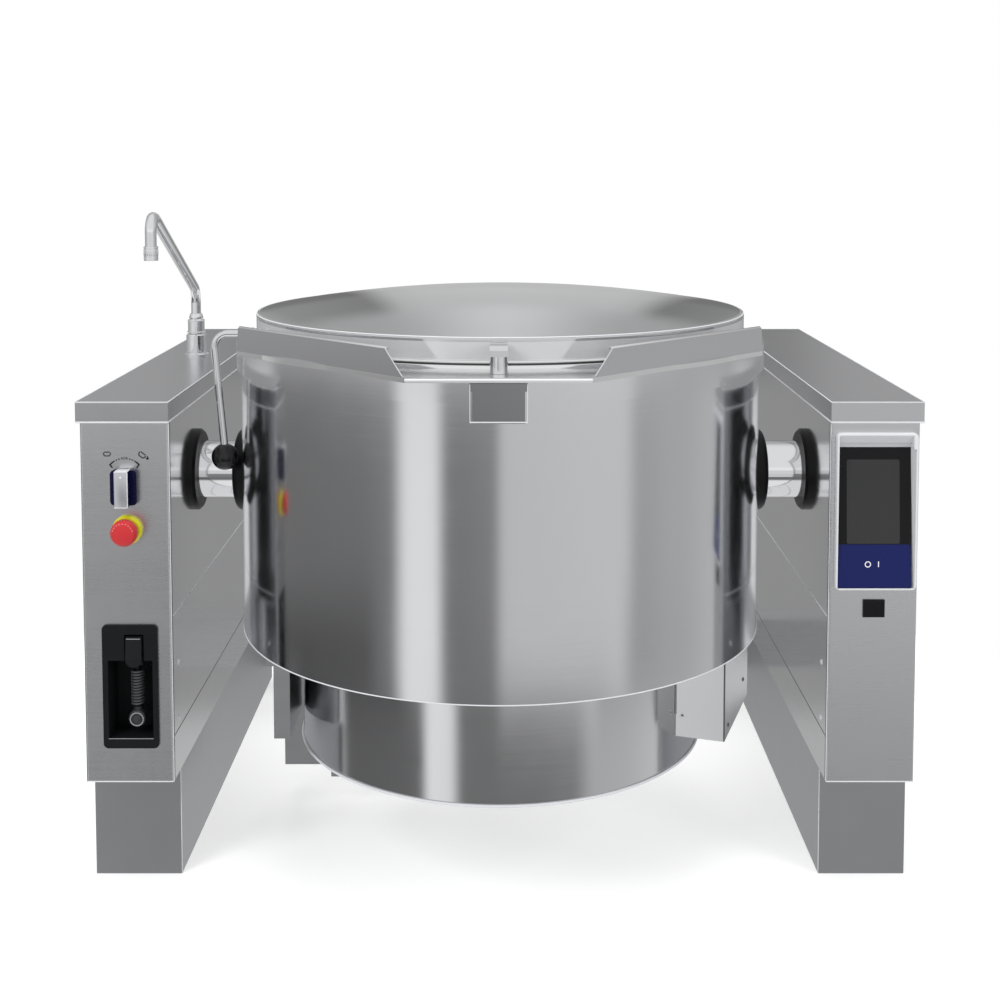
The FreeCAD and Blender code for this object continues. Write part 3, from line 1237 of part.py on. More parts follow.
def tap_spout():
    """Swivelling spout: rises, slants forward and hooks down into its aerator."""
    base = Vector(-size("tap_reach"), size("tap_rear"), 0)
    outlet = Vector(-size("spout_end_x"), -size("spout_end_front"), 0)
    cap_top = size("body_top") + size("cap_height")
    stem_start = cap_top + size("tap_body_height") + size("nut_height") - size("stem_depth")
    rise, top, end = size("spout_rise"), size("spout_top"), size("spout_outlet")
    hook = (base - outlet).normalize() * size("spout_hook")
    points = [base + Vector(0, 0, stem_start + size("seat_gap")), base + Vector(0, 0, rise),
              outlet + hook + Vector(0, 0, top - 6), outlet + Vector(0, 0, top), outlet + Vector(0, 0, end)]
    radius = size("spout_radius")
    bends = [size("spout_foot_bend"), size("spout_high_bend"), size("spout_hook_bend")]
    tube = round_rod(points, bends, radius)
    aerator = Part.makeCylinder(size("aerator_radius"), size("aerator_height"), outlet + Vector(0, 0, end))
    spout = DOC.addObject("Part::Feature", "tap_spout")
    spout.Shape = tube.fuse(aerator).removeSplitter()
    spout.Placement = Placement()
    bind(spout, Placement__Base__y=AXIS_Y)
    node(spout, "tap_spout")


# Controls on the left console
def selector_knob():
    """Tilt selector: a rounded base with a grip bar across it and a stem through the panel."""
    body = facing_body("selector_knob", "-1 * knob_x", "knob_z")
    half_width, half_length = "knob_width / 2", "knob_length / 2"
    pad(body, "z", [rectangle(f"-1 * {half_width}", half_width, f"-1 * {half_length}", half_length)],
        "seat_gap", "knob_base")
    pad(body, "z", [rectangle("-1 * grip_width / 2", "grip_width / 2", f"-1 * {half_length}", half_length)],
        "knob_base", "knob_depth")
    pad(body, "z", [("0", "0", "stop_stem - seat_gap")], "-1 * knob_base", "seat_gap")
    width = size("knob_width")
    round_edges(body, "knob_width / 6", lambda edge: runs_along(edge, Vector(0, 0, 1))
                and abs(abs(edge.Vertexes[0].X) - width / 2) < 1e-3)
    depth = size("knob_depth")
    round_edges(body, "grip_width / 8", lambda edge: all(abs(v.Z - depth) < 1e-3 for v in edge.Vertexes))
    node(body, "selector_knob")


def stop_collar():
    """Collar under the stop button."""
    body = facing_body("stop_collar", "-1 * stop_x", "stop_z")
    bore = "stop_stem + seat_gap"
    turn(body, [
        (bore, "0"), ("stop_collar_radius", "0"), ("stop_collar_radius", "stop_collar_depth * 0.6"),
        ("stop_collar_radius - 4", "stop_collar_depth"), (bore, "stop_collar_depth")])
    node(body, "stop_collar")


def stop_button():
    """Mushroom head on its stem, which is pushed towards the panel."""
    body = facing_body("stop_button", "-1 * stop_x", "stop_z")
    head = "(stop_collar_depth + 7)"
    turn(body, [
        ("0", "-18"), ("stop_stem", "-18"), ("stop_stem", head), ("stop_radius - 3", head),
        ("stop_radius", f"{head} + 4"), ("stop_radius", "stop_depth - 8"),
        ("stop_radius - 4", "stop_depth - 2.5", "dome"), ("0", "stop_depth")])
    node(body, "stop_button")


def spray_recess():
    """Moulded recess for the spray gun: a frame, a deep cavity and a shallow slot above it."""
    body = new_body("spray_recess")
    face = f"{FRONT} - recess_proud"
    plate = rectangle("-1 * recess_outer", "-1 * recess_inner", "recess_bottom", "recess_top")
    left = "-1 * (recess_outer - recess_border)"
    right = "-1 * (recess_inner + recess_border)"
    pad(body, "y", [plate], face, FRONT)
    pad(body, "y", [rectangle(f"{left} - panel_wall", f"{right} + panel_wall",
                              "cavity_bottom - panel_wall", "slot_top + panel_wall")],
        FRONT, f"{FRONT} + recess_depth + panel_wall")
    cut(body, "y", [rectangle(left, right, "cavity_bottom", "cavity_top")], face, f"{FRONT} + recess_depth")
    slot_left = "-1 * (spray_x + lever_width / 2 + 3)"
    slot_right = "-1 * (spray_x - lever_width / 2 - 3)"
    slot_floor = f"{FRONT} + spray_inset + grip_half + seat_gap"
    cut(body, "y", [rectangle(slot_left, slot_right, "cavity_top - 1", "slot_top")], face, slot_floor)
    outer = (size("recess_inner"), size("recess_outer"))
    levels = (size("recess_bottom"), size("recess_top"))
    round_edges(body, "recess_border * 0.9", lambda edge: runs_along(edge, Vector(0, 1, 0))
                and min(abs(-edge.Vertexes[0].X - x) for x in outer) < 1e-3
                and min(abs(edge.Vertexes[0].Z - z) for z in levels) < 1e-3)
    node(body, "spray_recess")


PIN_Y = f"({FRONT} + spray_inset - grip_half / 2)"
PIN_Z = "(lever_top - 6)"


def spray_neck():
    """Spray gun neck in its ribbed spring sleeve, with the grip and the pin of the lever above it."""
    body = new_body("spray_neck", "-1 * spray_x", f"{FRONT} + spray_inset", "0")
    core = "neck_radius * 0.72"
    ribs = 9
    neck_top = "(lever_bottom - 4)"
    pitch = f"({neck_top} - nozzle_top) / 9"
    corners = [("0", "nozzle_top")]
    for rib in range(ribs):
        low = f"nozzle_top + {pitch} * {rib}"
        corners += [(core, low), ("neck_radius", f"{low} + {pitch} * 0.3"), ("neck_radius", f"{low} + {pitch} * 0.7")]
    corners += [(core, neck_top), ("0", neck_top)]
    turn(body, corners)
    grip = rectangle("-1 * grip_half", "grip_half", f"{neck_top} - 2", "lever_top + 1")
    grip_side = "lever_width / 2 - lever_ear - seat_gap"
    pad(body, "x", [grip], f"-1 * ({grip_side})", grip_side)
    pin = ("-1 * grip_half / 2", PIN_Z, "lever_pin")
    pad(body, "x", [pin], "-1 * lever_width / 2", "lever_width / 2")
    node(body, "spray_neck")


def spray_nozzle():
    """Elbow at the foot of the spring sleeve with a round head that faces the front."""
    body = new_body("spray_nozzle", "-1 * spray_x", f"{FRONT} + spray_inset", "nozzle_height")
    body.Placement.Rotation = Rotation(Vector(1, 0, 0), 90)
    rear = "-1 * nozzle_radius * 0.7"
    turn(body, [
        ("0", rear), ("nozzle_radius * 0.75", rear), ("nozzle_radius", f"{rear} + 5"),
        ("nozzle_radius", "nozzle_reach - 2"), ("nozzle_radius - 2", "nozzle_reach"),
        ("nozzle_radius * 0.68", "nozzle_reach"), ("nozzle_radius * 0.6", "nozzle_reach - 2"),
        ("nozzle_radius * 0.45", "nozzle_reach - 2"), ("nozzle_radius * 0.4", "nozzle_reach - 1", "dome"),
        ("0", "nozzle_reach - 0.5")], axis="V_Axis")
    pad(body, "y", [("0", "0", "neck_radius * 0.6")], "0", "nozzle_top - nozzle_height")
    node(body, "spray_nozzle")


def spray_lever():
    """Lever of the spray gun with a round foot, hung by two ears on the pin at the top of the grip."""
    body = new_body("spray_lever")
    near, far = "-1 * (spray_x + lever_width / 2)", "-1 * (spray_x - lever_width / 2)"
    rear = f"{FRONT} + lever_depth"
    face = f"{FRONT} - recess_proud - 6"
    round_z = "(lever_bottom + lever_width / 2)"
    pad(body, "y", [rectangle(near, far, round_z, "lever_top")], face, rear)
    pad(body, "y", [("-1 * spray_x", round_z, "lever_width / 2")], face, rear)
    slope = [(f"{face} - 1", round_z), (face, round_z), (f"{face} + 3", "lever_top + 1"),
             (f"{face} - 1", "lever_top + 1")]
    cut(body, "x", [slope], near, far)
    arm = rectangle(f"{rear} - 1", PIN_Y, f"{PIN_Z} - 2 * lever_pin", f"{PIN_Z} + 2 * lever_pin")
    for low, high in ((near, f"{near} + lever_ear"), (f"{far} - lever_ear", far)):
        pad(body, "x", [arm], low, high)
        pad(body, "x", [(PIN_Y, PIN_Z, "2 * lever_pin")], low, high)
    cut(body, "x", [(PIN_Y, PIN_Z, "lever_pin + running_gap")], near, far)
    node(body, "spray_lever")


# Controls on the right console
def glass_profile(front, rear, below, above):
    """Return the side view of a slab that leans like the control glass."""
    foot = f"({FRONT} - bezel_proud + screen_sink)"
    lean = "screen_lean / (screen_top - screen_bottom)"
    low, high = f"(screen_bottom - {below})", f"(screen_top + {above})"
    low_y = f"{foot} + ({low} - screen_bottom) * {lean}"
    high_y = f"{foot} + ({high} - screen_bottom) * {lean}"
    return [(f"{low_y} + {front}", low), (f"{low_y} + {rear}", low),
            (f"{high_y} + {rear}", high), (f"{high_y} + {front}", high)]


def control_bezel():
    """Frame of the control unit, open towards a glass that leans back from its foot."""
    body = new_body("control_bezel")
    face = f"{FRONT} - bezel_proud"
    pad(body, "y", [rectangle("bezel_inner", "bezel_outer", "bezel_bottom", "bezel_top")], face, FRONT)
    box = (size("bezel_inner"), size("bezel_outer")), (size("bezel_bottom"), size("bezel_top"))
    round_edges(body, "bezel_round", lambda edge: runs_along(edge, Vector(0, 1, 0))
                and min(abs(edge.Vertexes[0].X - x) for x in box[0]) < 1e-3
                and min(abs(edge.Vertexes[0].Z - z) for z in box[1]) < 1e-3)
    front = front_y() - size("bezel_proud")
    round_edges(body, "screen_sink", lambda edge: all(abs(v.Y - front) < 1e-3 for v in edge.Vertexes))
    tray = rectangle("screen_inner - tray_rim", "screen_outer + tray_rim",
                     "screen_bottom - tray_rim", "screen_top + tray_rise")
    pad(body, "y", [tray], FRONT, f"{FRONT} + tray_depth")
    sides = ("screen_inner - seat_gap", "screen_outer + seat_gap")
    seat = glass_profile("-1 * bezel_proud", "screen_thickness + seat_gap", "seat_gap", "seat_gap")
    cut(body, "x", [seat], *sides)
    before = f"{face} - screen_sink / 2"
    middle = "(screen_top + screen_bottom) / 2"
    deep = f"{face} + screen_sink + screen_lean"
    brow = [(before, middle), (before, "bezel_top - bezel_edge"), (face, "bezel_top - bezel_edge"),
            (deep, "screen_top"), (f"{face} + screen_sink", middle)]
    cut(body, "x", [brow], *sides)
    flare = [("screen_outer", before), ("bezel_outer - bezel_edge", before), ("bezel_outer - bezel_edge", face),
             ("screen_outer", deep)]
    cut(body, "z", [flare], "screen_bottom", "screen_top")
    node(body, "control_bezel")


def control_screen():
    """Flat glass over the display and the touch keys, leaning back from its foot."""
    body = new_body("control_screen")
    pad(body, "x", [glass_profile("0", "screen_thickness", "0", "0")], "screen_inner", "screen_outer")
    node(body, "control_screen")


def port_cover():
    """Hinged cover of the service port, with its hinge barrel along the top."""
    body = new_body("port_cover")
    barrel = "(port_thickness / 2 + 0.5)"
    axis_y = f"{FRONT} - seat_gap - {barrel}"
    left, right = "port_x - port_width / 2", "port_x + port_width / 2"
    pad(body, "y", [rectangle(left, right, "port_bottom", f"port_top - {barrel}")],
        f"{FRONT} - seat_gap - port_thickness", f"{FRONT} - seat_gap")
    pad(body, "x", [(axis_y, f"port_top - {barrel}", barrel)], left, right)
    node(body, "port_cover")


# Screws
def screw(name, place, direction, scale=1.0):
    """Domed screw head that sits on a face and points along a direction."""
    body = new_body(name, *place, rotation=Rotation(Vector(0, 0, 1), direction))
    radius = f"screw_radius * {scale}"
    height = f"screw_height * {scale}"
    turn(body, [("0", "0"), (radius, "0"), (radius, f"{height} * 0.4", "dome"), ("0", height)])
    return body


def wall_screws():
    """Screws through the inner wall panels."""
    heads = []
    for side, hand in ((-1, "left"), (1, "right")):
        for level in ("screw_low", "screw_high"):
            place = (sided(side, "console_inner"), f"{FRONT} + screw_inset", level)
            heads.append(screw(f"{hand}_wall_{level}", place, Vector(-side, 0, 0)))
    group = DOC.addObject("Part::Compound", "wall_screws")
    group.Links = heads
    node(group, "wall_screws")


def service_screws():
    """Screws on the outer face of the service box."""
    angle = math.radians(-size("box_angle"))
    outward = Vector(math.cos(angle), math.sin(angle), 0)
    along = Vector(-math.sin(angle), math.cos(angle), 0)
    heads = []
    spots = (("-1 * service_screw_side", "service_screw_low"), ("-1 * service_screw_side", "service_screw_high"),
             ("service_screw_rear", "service_screw_back"))
    for number, (shift, level) in enumerate(spots):
        across = f"box_reach * {outward.x} + ({shift}) * {along.x}"
        back = f"{AXIS_Y} + box_reach * {outward.y} + ({shift}) * {along.y}"
        heads.append(screw(f"service_screw_{number}", (across, back, level), outward, 0.8))
    group = DOC.addObject("Part::Compound", "service_screws")
    group.Links = heads
    node(group, "service_screws")


def check(thing):
    """Stop if an object failed or its shape isn't usable."""
    if {"Invalid", "Error"} & set(thing.State):
        raise RuntimeError(f"{thing.Label} did not build: {thing.State}")


def build():
    """Build every sub-part."""
    for hand, side in (("left", -1), ("right", 1)):
        plinth(f"{hand}_plinth", side)
        frame(f"{hand}_frame", side)
        walls(hand, side)
        cap(f"{hand}_cap", side)
        trunnion(f"{hand}_trunnion", side)
        pour_guard(f"{hand}_pour_guard", side)
    for make in (
            left_front_panel, right_front_panel, rear_panels, rear_cross_beam, wall_seals, shell_seals,
            trunnion_bearings, sector_gear, drive_pinion, gear_motor, inner_vessel, steam_jacket,
            upper_shell, lower_shell, rim_band, pouring_flange, lip_bracket, lid_latch, service_box,
            pipe_duct, terminal_box, heating_elements, lid_shell, lid_liner, lid_gasket,
            lid_hinge_bracket, lid_hinge_arms, lid_handle, handle_ball, tap_base, tap_spout,
            selector_knob, stop_collar, stop_button, spray_recess, spray_neck, spray_nozzle,
            spray_lever, control_bezel, control_screen, port_cover, wall_screws, service_screws):
        make()
    DOC.recompute()


def export():
    """Test every object and write one file per sub-part."""
    for thing in DOC.Objects:
        check(thing)
        if thing.TypeId in ("PartDesign::Pocket", "PartDesign::Groove"):
            if thing.BaseFeature.Shape.Volume - thing.Shape.Volume < 1e-3:
                raise RuntimeError(f"{thing.Label} removes nothing")
    os.makedirs("parts", exist_ok=True)
    for thing in NODES:
        if thing.Shape.isNull() or not thing.Shape.isValid():
            raise RuntimeError(f"{thing.Label} has no valid shape")
        thing.Shape.exportStep(f"parts/{thing.Label}.step")
    print(len(NODES), "sub-parts")


build()
export()
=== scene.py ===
"""Looks of a tilting boiling kettle: finishes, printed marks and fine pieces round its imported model."""

import logging
import math
from dataclasses import dataclass
from enum import Enum
from typing import Any, Iterable, Sequence, Union

import bmesh
import bpy
from mathutils import Matrix, Vector


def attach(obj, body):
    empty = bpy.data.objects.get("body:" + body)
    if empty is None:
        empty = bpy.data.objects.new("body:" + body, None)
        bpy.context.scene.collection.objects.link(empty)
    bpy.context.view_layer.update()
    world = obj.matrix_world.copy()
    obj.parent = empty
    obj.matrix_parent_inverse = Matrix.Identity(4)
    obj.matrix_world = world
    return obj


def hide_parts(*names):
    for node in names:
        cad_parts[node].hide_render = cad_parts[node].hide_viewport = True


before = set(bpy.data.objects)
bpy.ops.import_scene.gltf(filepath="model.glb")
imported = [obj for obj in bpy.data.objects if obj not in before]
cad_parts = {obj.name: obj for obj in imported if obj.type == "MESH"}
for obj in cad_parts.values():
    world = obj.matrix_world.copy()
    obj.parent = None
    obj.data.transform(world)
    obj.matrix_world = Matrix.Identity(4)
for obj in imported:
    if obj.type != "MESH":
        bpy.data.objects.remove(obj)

logging.basicConfig(level=logging.INFO, format="%(message)s")
log = logging.getLogger("kettle")

Triple = tuple[float, float, float]
Place = tuple[float, float]

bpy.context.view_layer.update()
AXIS_Y = -0.1775
FRONT = -0.3995
TRUNNION_Z = 0.731
VESSEL_FOOT: Triple = (0.0, AXIS_Y, 0.0)
TRUNNION_MIDDLE: Triple = (0.0, AXIS_Y, TRUNNION_Z)
UPWARD: Triple = (0.0, 0.0, 1.0)
FORWARD: Triple = (0.0, -1.0, 0.0)
NOWHERE: Triple = (0.0, 0.0, 0.0)
FULL_TURN = 2.0 * math.pi
MID_NOISE = 0.5
FINE_RING_STEPS = 192


class Signal:
    """One shader socket that takes part in arithmetic."""

    def __init__(self, graph: "Graph", socket: bpy.types.NodeSocket) -> None:
        """Wrap a socket.

        Args:
            graph: the graph that the socket belongs to.
            socket: an output socket of one of its nodes.
        """
        self.graph = graph
        self.socket = socket

    def _math(self, operation: str, *operands: Any) -> "Signal":
        """Add a Math node.

        Args:
            operation: the node's operation.
            operands: its values or signals, in order.

        Returns:
            The node's result.
        """
        return self.graph.make("ShaderNodeMath", {"operation": operation}, dict(enumerate(operands)))

    def __add__(self, other: Any) -> "Signal":
        """Return the sum."""
        return self._math("ADD", self, other)

    __radd__ = __add__

    def __sub__(self, other: Any) -> "Signal":
        """Return the difference."""
        return self._math("SUBTRACT", self, other)

    def __mul__(self, other: Any) -> "Signal":
        """Return the product."""
        return self._math("MULTIPLY", self, other)

    def __truediv__(self, other: Any) -> "Signal":
        """Return the quotient."""
        return self._math("DIVIDE", self, other)

    def __neg__(self) -> "Signal":
        """Return the negative."""
        return self._math("MULTIPLY", self, -1.0)

    def root(self) -> "Signal":
        """Return the square root."""
        return self._math("SQRT", self)

    def angle_from(self, other: Any) -> "Signal":
        """Return the angle whose sine is this signal and whose cosine is the other."""
        return self._math("ARCTAN2", self, other)

    def greater(self, other: Any) -> "Signal":
        """Return the larger of two."""
        return self._math("MAXIMUM", self, other)

    def step(self, low: float, high: float) -> "Signal":
        """Return a smooth step from 0 at low to 1 at high."""
        settings = {"interpolation_type": "SMOOTHSTEP"}
        return self.graph.make("ShaderNodeMapRange", settings, {"Value": self, "From Min": low, "From Max": high})

    def axes(self) -> list["Signal"]:
        """Return the three coordinates of a vector signal."""
        return [self.graph.make("ShaderNodeSeparateXYZ", {}, {"Vector": self}, name) for name in "XYZ"]


class Graph:
    """The nodes of one material or of the world."""

    def __init__(self, owner: Union[bpy.types.Material, bpy.types.World]) -> None:
        """Clear the owner's nodes.

        Args:
            owner: the material or world whose nodes this is.
        """
        owner.use_nodes = True
        self.tree = owner.node_tree
        self.tree.nodes.clear()

    def make(
        self,
        kind: str,
        settings: dict[str, Any] | None = None,
        inputs: dict[Union[int, str], Any] | None = None,
        output: Union[int, str, None] = None,
    ) -> Signal:
        """Add one node.

        Args:
            kind: the node's type.
            settings: its properties, set before its sockets; stops and curve shape a ramp.
            inputs: values or signals by socket name or number.
            output: the socket to return, or None for the first that is in use.

        Returns:
            One output of the node.
        """
        node = self.tree.nodes.new(kind)
        for name, value in (settings or {}).items():
            if name == "stops":
                self._set_stops(node.color_ramp, value)
            elif name == "curve":
                node.color_ramp.interpolation = value
            else:
                setattr(node, name, value)
        for key, value in (inputs or {}).items():
            socket = node.inputs[key]
            if isinstance(value, Signal):
                self.tree.links.new(value.socket, socket)
            else:
                socket.default_value = value
        if output is None:
            return Signal(self, next(socket for socket in node.outputs if socket.enabled))
        return Signal(self, node.outputs[output])

    @staticmethod
    def _set_stops(ramp: bpy.types.ColorRamp, stops: Sequence[tuple[float, Triple]]) -> None:
        """Fill a colour ramp.

        Args:
            ramp: the ramp.
            stops: positions and colours, in rising order.
        """
        while len(ramp.elements) > 1:
            ramp.elements.remove(ramp.elements[-1])
        for number, (position, colour) in enumerate(stops):
            element = ramp.elements[0] if number == 0 else ramp.elements.new(position)
            element.position = position
            element.color = (*colour, 1.0)

    def place(self, centre: Triple = NOWHERE) -> Signal:
        """Return the surface point from a centre, in metres."""
        here = self.make("ShaderNodeTexCoord", {}, {}, "Object")
        return self.make("ShaderNodeVectorMath", {"operation": "SUBTRACT"}, {0: here, 1: centre})

    def noise(self, vector: Signal, scale: float, detail: float = 2.0) -> Signal:
        """Return smooth noise from 0 to 1."""
        inputs = {"Vector": vector, "Scale": scale, "Detail": detail, "Roughness": 0.55}
        return self.make("ShaderNodeTexNoise", {}, inputs, "Fac")

    def stretched(self, vector: Signal, scales: Triple) -> Signal:
        """Return a vector multiplied along each axis."""
        return self.make("ShaderNodeVectorMath", {"operation": "MULTIPLY"}, {0: vector, 1: scales})

    def joined(self, x: Any, y: Any, z: Any) -> Signal:
        """Return a vector made of three signals."""
        return self.make("ShaderNodeCombineXYZ", {}, {"X": x, "Y": y, "Z": z})

    def blended(self, amount: Any, first: Any, second: Any) -> Signal:
        """Return a mix of two colours.

        Args:
            amount: 0 gives the first colour and 1 the second.
            first: a colour or a signal.
            second: a colour or a signal.

        Returns:
            The mixed colour.
        """
        colours = [value if isinstance(value, Signal) else (*value, 1.0) for value in (first, second)]
        settings = {"data_type": "RGBA", "clamp_factor": True}
        return self.make("ShaderNodeMix", settings, {"Factor": amount, 6: colours[0], 7: colours[1]}, 2)

    def bump(self, height: Signal, strength: float, distance: float) -> Signal:
        """Return a normal bent by a height signal."""
        return self.make("ShaderNodeBump", {}, {"Height": height, "Strength": strength, "Distance": distance})

    def ray(self, kind: str) -> Signal:
        """Return 1 for rays of one kind and 0 for others."""
        return self.make("ShaderNodeLightPath", {}, {}, kind)

    def surface(self, **sockets: Any) -> None:
        """Finish a material with one principled shader.

        Args:
            sockets: its inputs, with underscores for the spaces in their names.
        """
        inputs = {
            " ".join(word.capitalize() for word in name.split("_")).replace("Ior", "IOR"): value
            for name, value in sockets.items()
        }
        self.finish("ShaderNodeOutputMaterial", self.make("ShaderNodeBsdfPrincipled", {}, inputs))

    def finish(self, kind: str, shader: Signal) -> None:
        """Join a shader to the graph's output.

        Args:
            kind: the type of the output node.
            shader: what it shows.
        """
        node = self.tree.nodes.new(kind)
        self.tree.links.new(shader.socket, node.inputs["Surface"])


class Grain(Enum):
    """The way in which steel was brushed."""

    ALONG_X = "along x"
    ALONG_Y = "along y"
    ROUND_VESSEL = "rings round the vessel axis"
    ROUND_TRUNNION = "rings round the tilting axis"
    NONE = "no direction"


@dataclass(frozen=True)
class Finish:
    """What every finish has: a name and a colour."""

    name: str
    colour: Triple

    def material(self) -> bpy.types.Material:
        """Return the finish as a material, made once."""
        title = f"{self.name}_finish"
        found = bpy.data.materials.get(title)
        if found is None:
            found = bpy.data.materials.new(title)
            self.fill(Graph(found))
        return found

    def shade(self, factor: float, lift: float = 0.0) -> Triple:
        """Return the colour made darker or lighter.

        Args:
            factor: what each channel is multiplied by.
            lift: what is then added to it.

        Returns:
            The shaded colour, with no channel above 1.
        """
        return tuple(min(1.0, channel * factor + lift) for channel in self.colour)

    def fill(self, graph: Graph) -> None:
        """Add the nodes of the finish to a material's graph."""
        raise NotImplementedError


@dataclass(frozen=True)
class Steel(Finish):
    """Stainless steel with fine brushing, faint smears and a soft sheen."""

    roughness: float = 0.24
    grain: Grain = Grain.NONE
    line_contrast: float = 0.03
    line_depth: float = 0.000002
    line_relief: float = 0.2
    line_sheen: float = 0.06
    line_scale: float = 620.0
    slow_scale: float = 3.0
    turn_scale: float = 2.0
    plain_scale: float = 120.0
    cloud_scale: float = 2.3
    cloud_contrast: float = 0.05
    print_scale: float = 14.0
    smear: float = 0.04
    darkest: float = 0.8
    lightest: float = 1.2
    metal: float = 1.0

    def grain_vector(self, graph: Graph) -> Signal:
        """Return the coordinates in which the brushed lines run.

        Args:
            graph: the material's graph.

        Returns:
            A vector that changes fast across the lines and slowly along them.
        """
        fast, slow, plain = self.line_scale, self.slow_scale, self.plain_scale
        on_vessel = self.grain is Grain.ROUND_VESSEL
        if on_vessel or self.grain is Grain.ROUND_TRUNNION:
            x, y, z = graph.place(VESSEL_FOOT if on_vessel else TRUNNION_MIDDLE).axes()
            if on_vessel:
                ring, turn, along = (x * x + y * y).root(), x.angle_from(y), z
            else:
                ring, turn, along = (y * y + z * z).root(), y.angle_from(z), x
            return graph.joined(ring * fast, along * fast, turn * self.turn_scale)
        scales = {
            Grain.ALONG_X: (slow, fast, fast),
            Grain.ALONG_Y: (fast, slow, fast),
            Grain.NONE: (plain, plain, plain),
        }[self.grain]
        return graph.stretched(graph.place(), scales)

    def fill(self, graph: Graph) -> None:
        """Add the nodes of brushed steel to a material's graph."""
        lines = graph.noise(self.grain_vector(graph), 1.0, 3.0)
        clouds = graph.noise(graph.place(), self.cloud_scale, 3.0)
        prints = graph.noise(graph.place(), self.print_scale, 4.0)
        contrast = (lines - MID_NOISE) * self.line_contrast + (clouds - MID_NOISE) * self.cloud_contrast
        shade = contrast + MID_NOISE
        sheen = self.roughness + (lines - MID_NOISE) * self.line_sheen
        rough = sheen + (clouds - MID_NOISE) * self.smear + (prints - MID_NOISE) * self.smear
        graph.surface(
            base_color=graph.blended(shade, self.shade(self.darkest), self.shade(self.lightest)),
            metallic=self.metal_at(graph),
            roughness=rough.greater(0.03),
            normal=graph.bump(lines, self.line_relief, self.line_depth),
        )

    def metal_at(self, graph: Graph) -> Union[float, Signal]:
        """Return how metallic the surface is.

        Args:
            graph: the material's graph.

        Returns:
            A number, or a signal where it varies.
        """
        return self.metal


@dataclass(frozen=True)
class SkirtedSteel(Steel):
    """Polished steel whose turned-down skirt is made less metallic, so that its base grey shows there as a pale
    painted sheen.
    """

    skirt_top: float = 1.0390
    skirt_fade: float = 0.002
    skirt_metal: float = 0.4

    def metal_at(self, graph: Graph) -> Signal:
        """Return how metallic the surface is, less so on the skirt.

        Args:
            graph: the material's graph.

        Returns:
            A signal that rises at the top of the skirt.
        """
        height = graph.place().axes()[2]
        rise = height.step(self.skirt_top - self.skirt_fade, self.skirt_top)
        return rise * (self.metal - self.skirt_metal) + self.skirt_metal


@dataclass(frozen=True)
class Moulded(Finish):
    """Moulded plastic or rubber with a fine skin grain and a little wear."""

    roughness: float = 0.4
    grain_scale: float = 900.0
    grain_depth: float = 0.00004
    grain_relief: float = 0.3
    cloud_scale: float = 18.0
    cloud_sheen: float = 0.12
    skin_sheen: float = 0.08
    variation: float = 0.12
    coat: float = 0.0
    coat_roughness: float = 0.06
    shine: float = 0.5

    def fill(self, graph: Graph) -> None:
        """Add the nodes of a moulded surface to a material's graph."""
        skin = graph.noise(graph.place(), self.grain_scale, 2.0)
        clouds = graph.noise(graph.place(), self.cloud_scale, 3.0)
        worn = self.roughness + (clouds - MID_NOISE) * self.cloud_sheen + (skin - MID_NOISE) * self.skin_sheen
        graph.surface(
            base_color=graph.blended(clouds, self.shade(1.0 - self.variation), self.shade(1.0 + self.variation)),
            roughness=worn.greater(0.04),
            normal=graph.bump(skin, self.grain_relief, self.grain_depth),
            specular_ior_level=self.shine,
            coat_weight=self.coat,
            coat_roughness=self.coat_roughness,
        )


@dataclass(frozen=True)
class Plated(Finish):
    """Polished chrome plate with faint water marks."""

    roughness: float = 0.06
    mark_scale: float = 60.0
    mark_edges: Place = (0.55, 0.75)
    mark_sheen: float = 0.05
    film_scale: float = 9.0
    film_sheen: float = 0.03
    darkest: float = 0.93

    def fill(self, graph: Graph) -> None:
        """Add the nodes of chrome plate to a material's graph."""
        marks = graph.noise(graph.place(), self.mark_scale, 4.0)
        film = graph.noise(graph.place(), self.film_scale, 2.0)
        worn = self.roughness + marks.step(*self.mark_edges) * self.mark_sheen + film * self.film_sheen
        graph.surface(
            base_color=graph.blended(marks, self.shade(self.darkest), self.colour),
            metallic=1.0,
            roughness=worn.greater(0.02),
        )


@dataclass(frozen=True)
class Glass(Finish):
    """Black glass of a touch screen, with faint finger marks."""

    roughness: float = 0.05
    mark_scale: float = 45.0
    mark_edges: Place = (0.5, 0.8)
    mark_sheen: float = 0.1
    film_scale: float = 6.0
    film_lift: float = 0.01
    shine: float = 0.16

    def fill(self, graph: Graph) -> None:
        """Add the nodes of dark glass to a material's graph."""
        marks = graph.noise(graph.place(), self.mark_scale, 5.0)
        film = graph.noise(graph.place(), self.film_scale, 2.0)
        graph.surface(
            base_color=graph.blended(film, self.colour, self.shade(1.0, self.film_lift)),
            roughness=(self.roughness + marks.step(*self.mark_edges) * self.mark_sheen).greater(0.02),
            specular_ior_level=self.shine,
        )


@dataclass(frozen=True)
class Ink(Finish):
    """Screen-printed ink."""

    roughness: float = 0.5
    shine: float = 0.3
    grain_scale: float = 1500.0
    grain_sheen: float = 0.1
    lightest: float = 1.15
    lift: float = 0.01

    def fill(self, graph: Graph) -> None:
        """Add the nodes of printed ink to a material's graph."""
        grain = graph.noise(graph.place(), self.grain_scale, 2.0)
        graph.surface(
            base_color=graph.blended(grain, self.colour, self.shade(self.lightest, self.lift)),
            roughness=self.roughness + (grain - MID_NOISE) * self.grain_sheen,
            specular_ior_level=self.shine,
        )


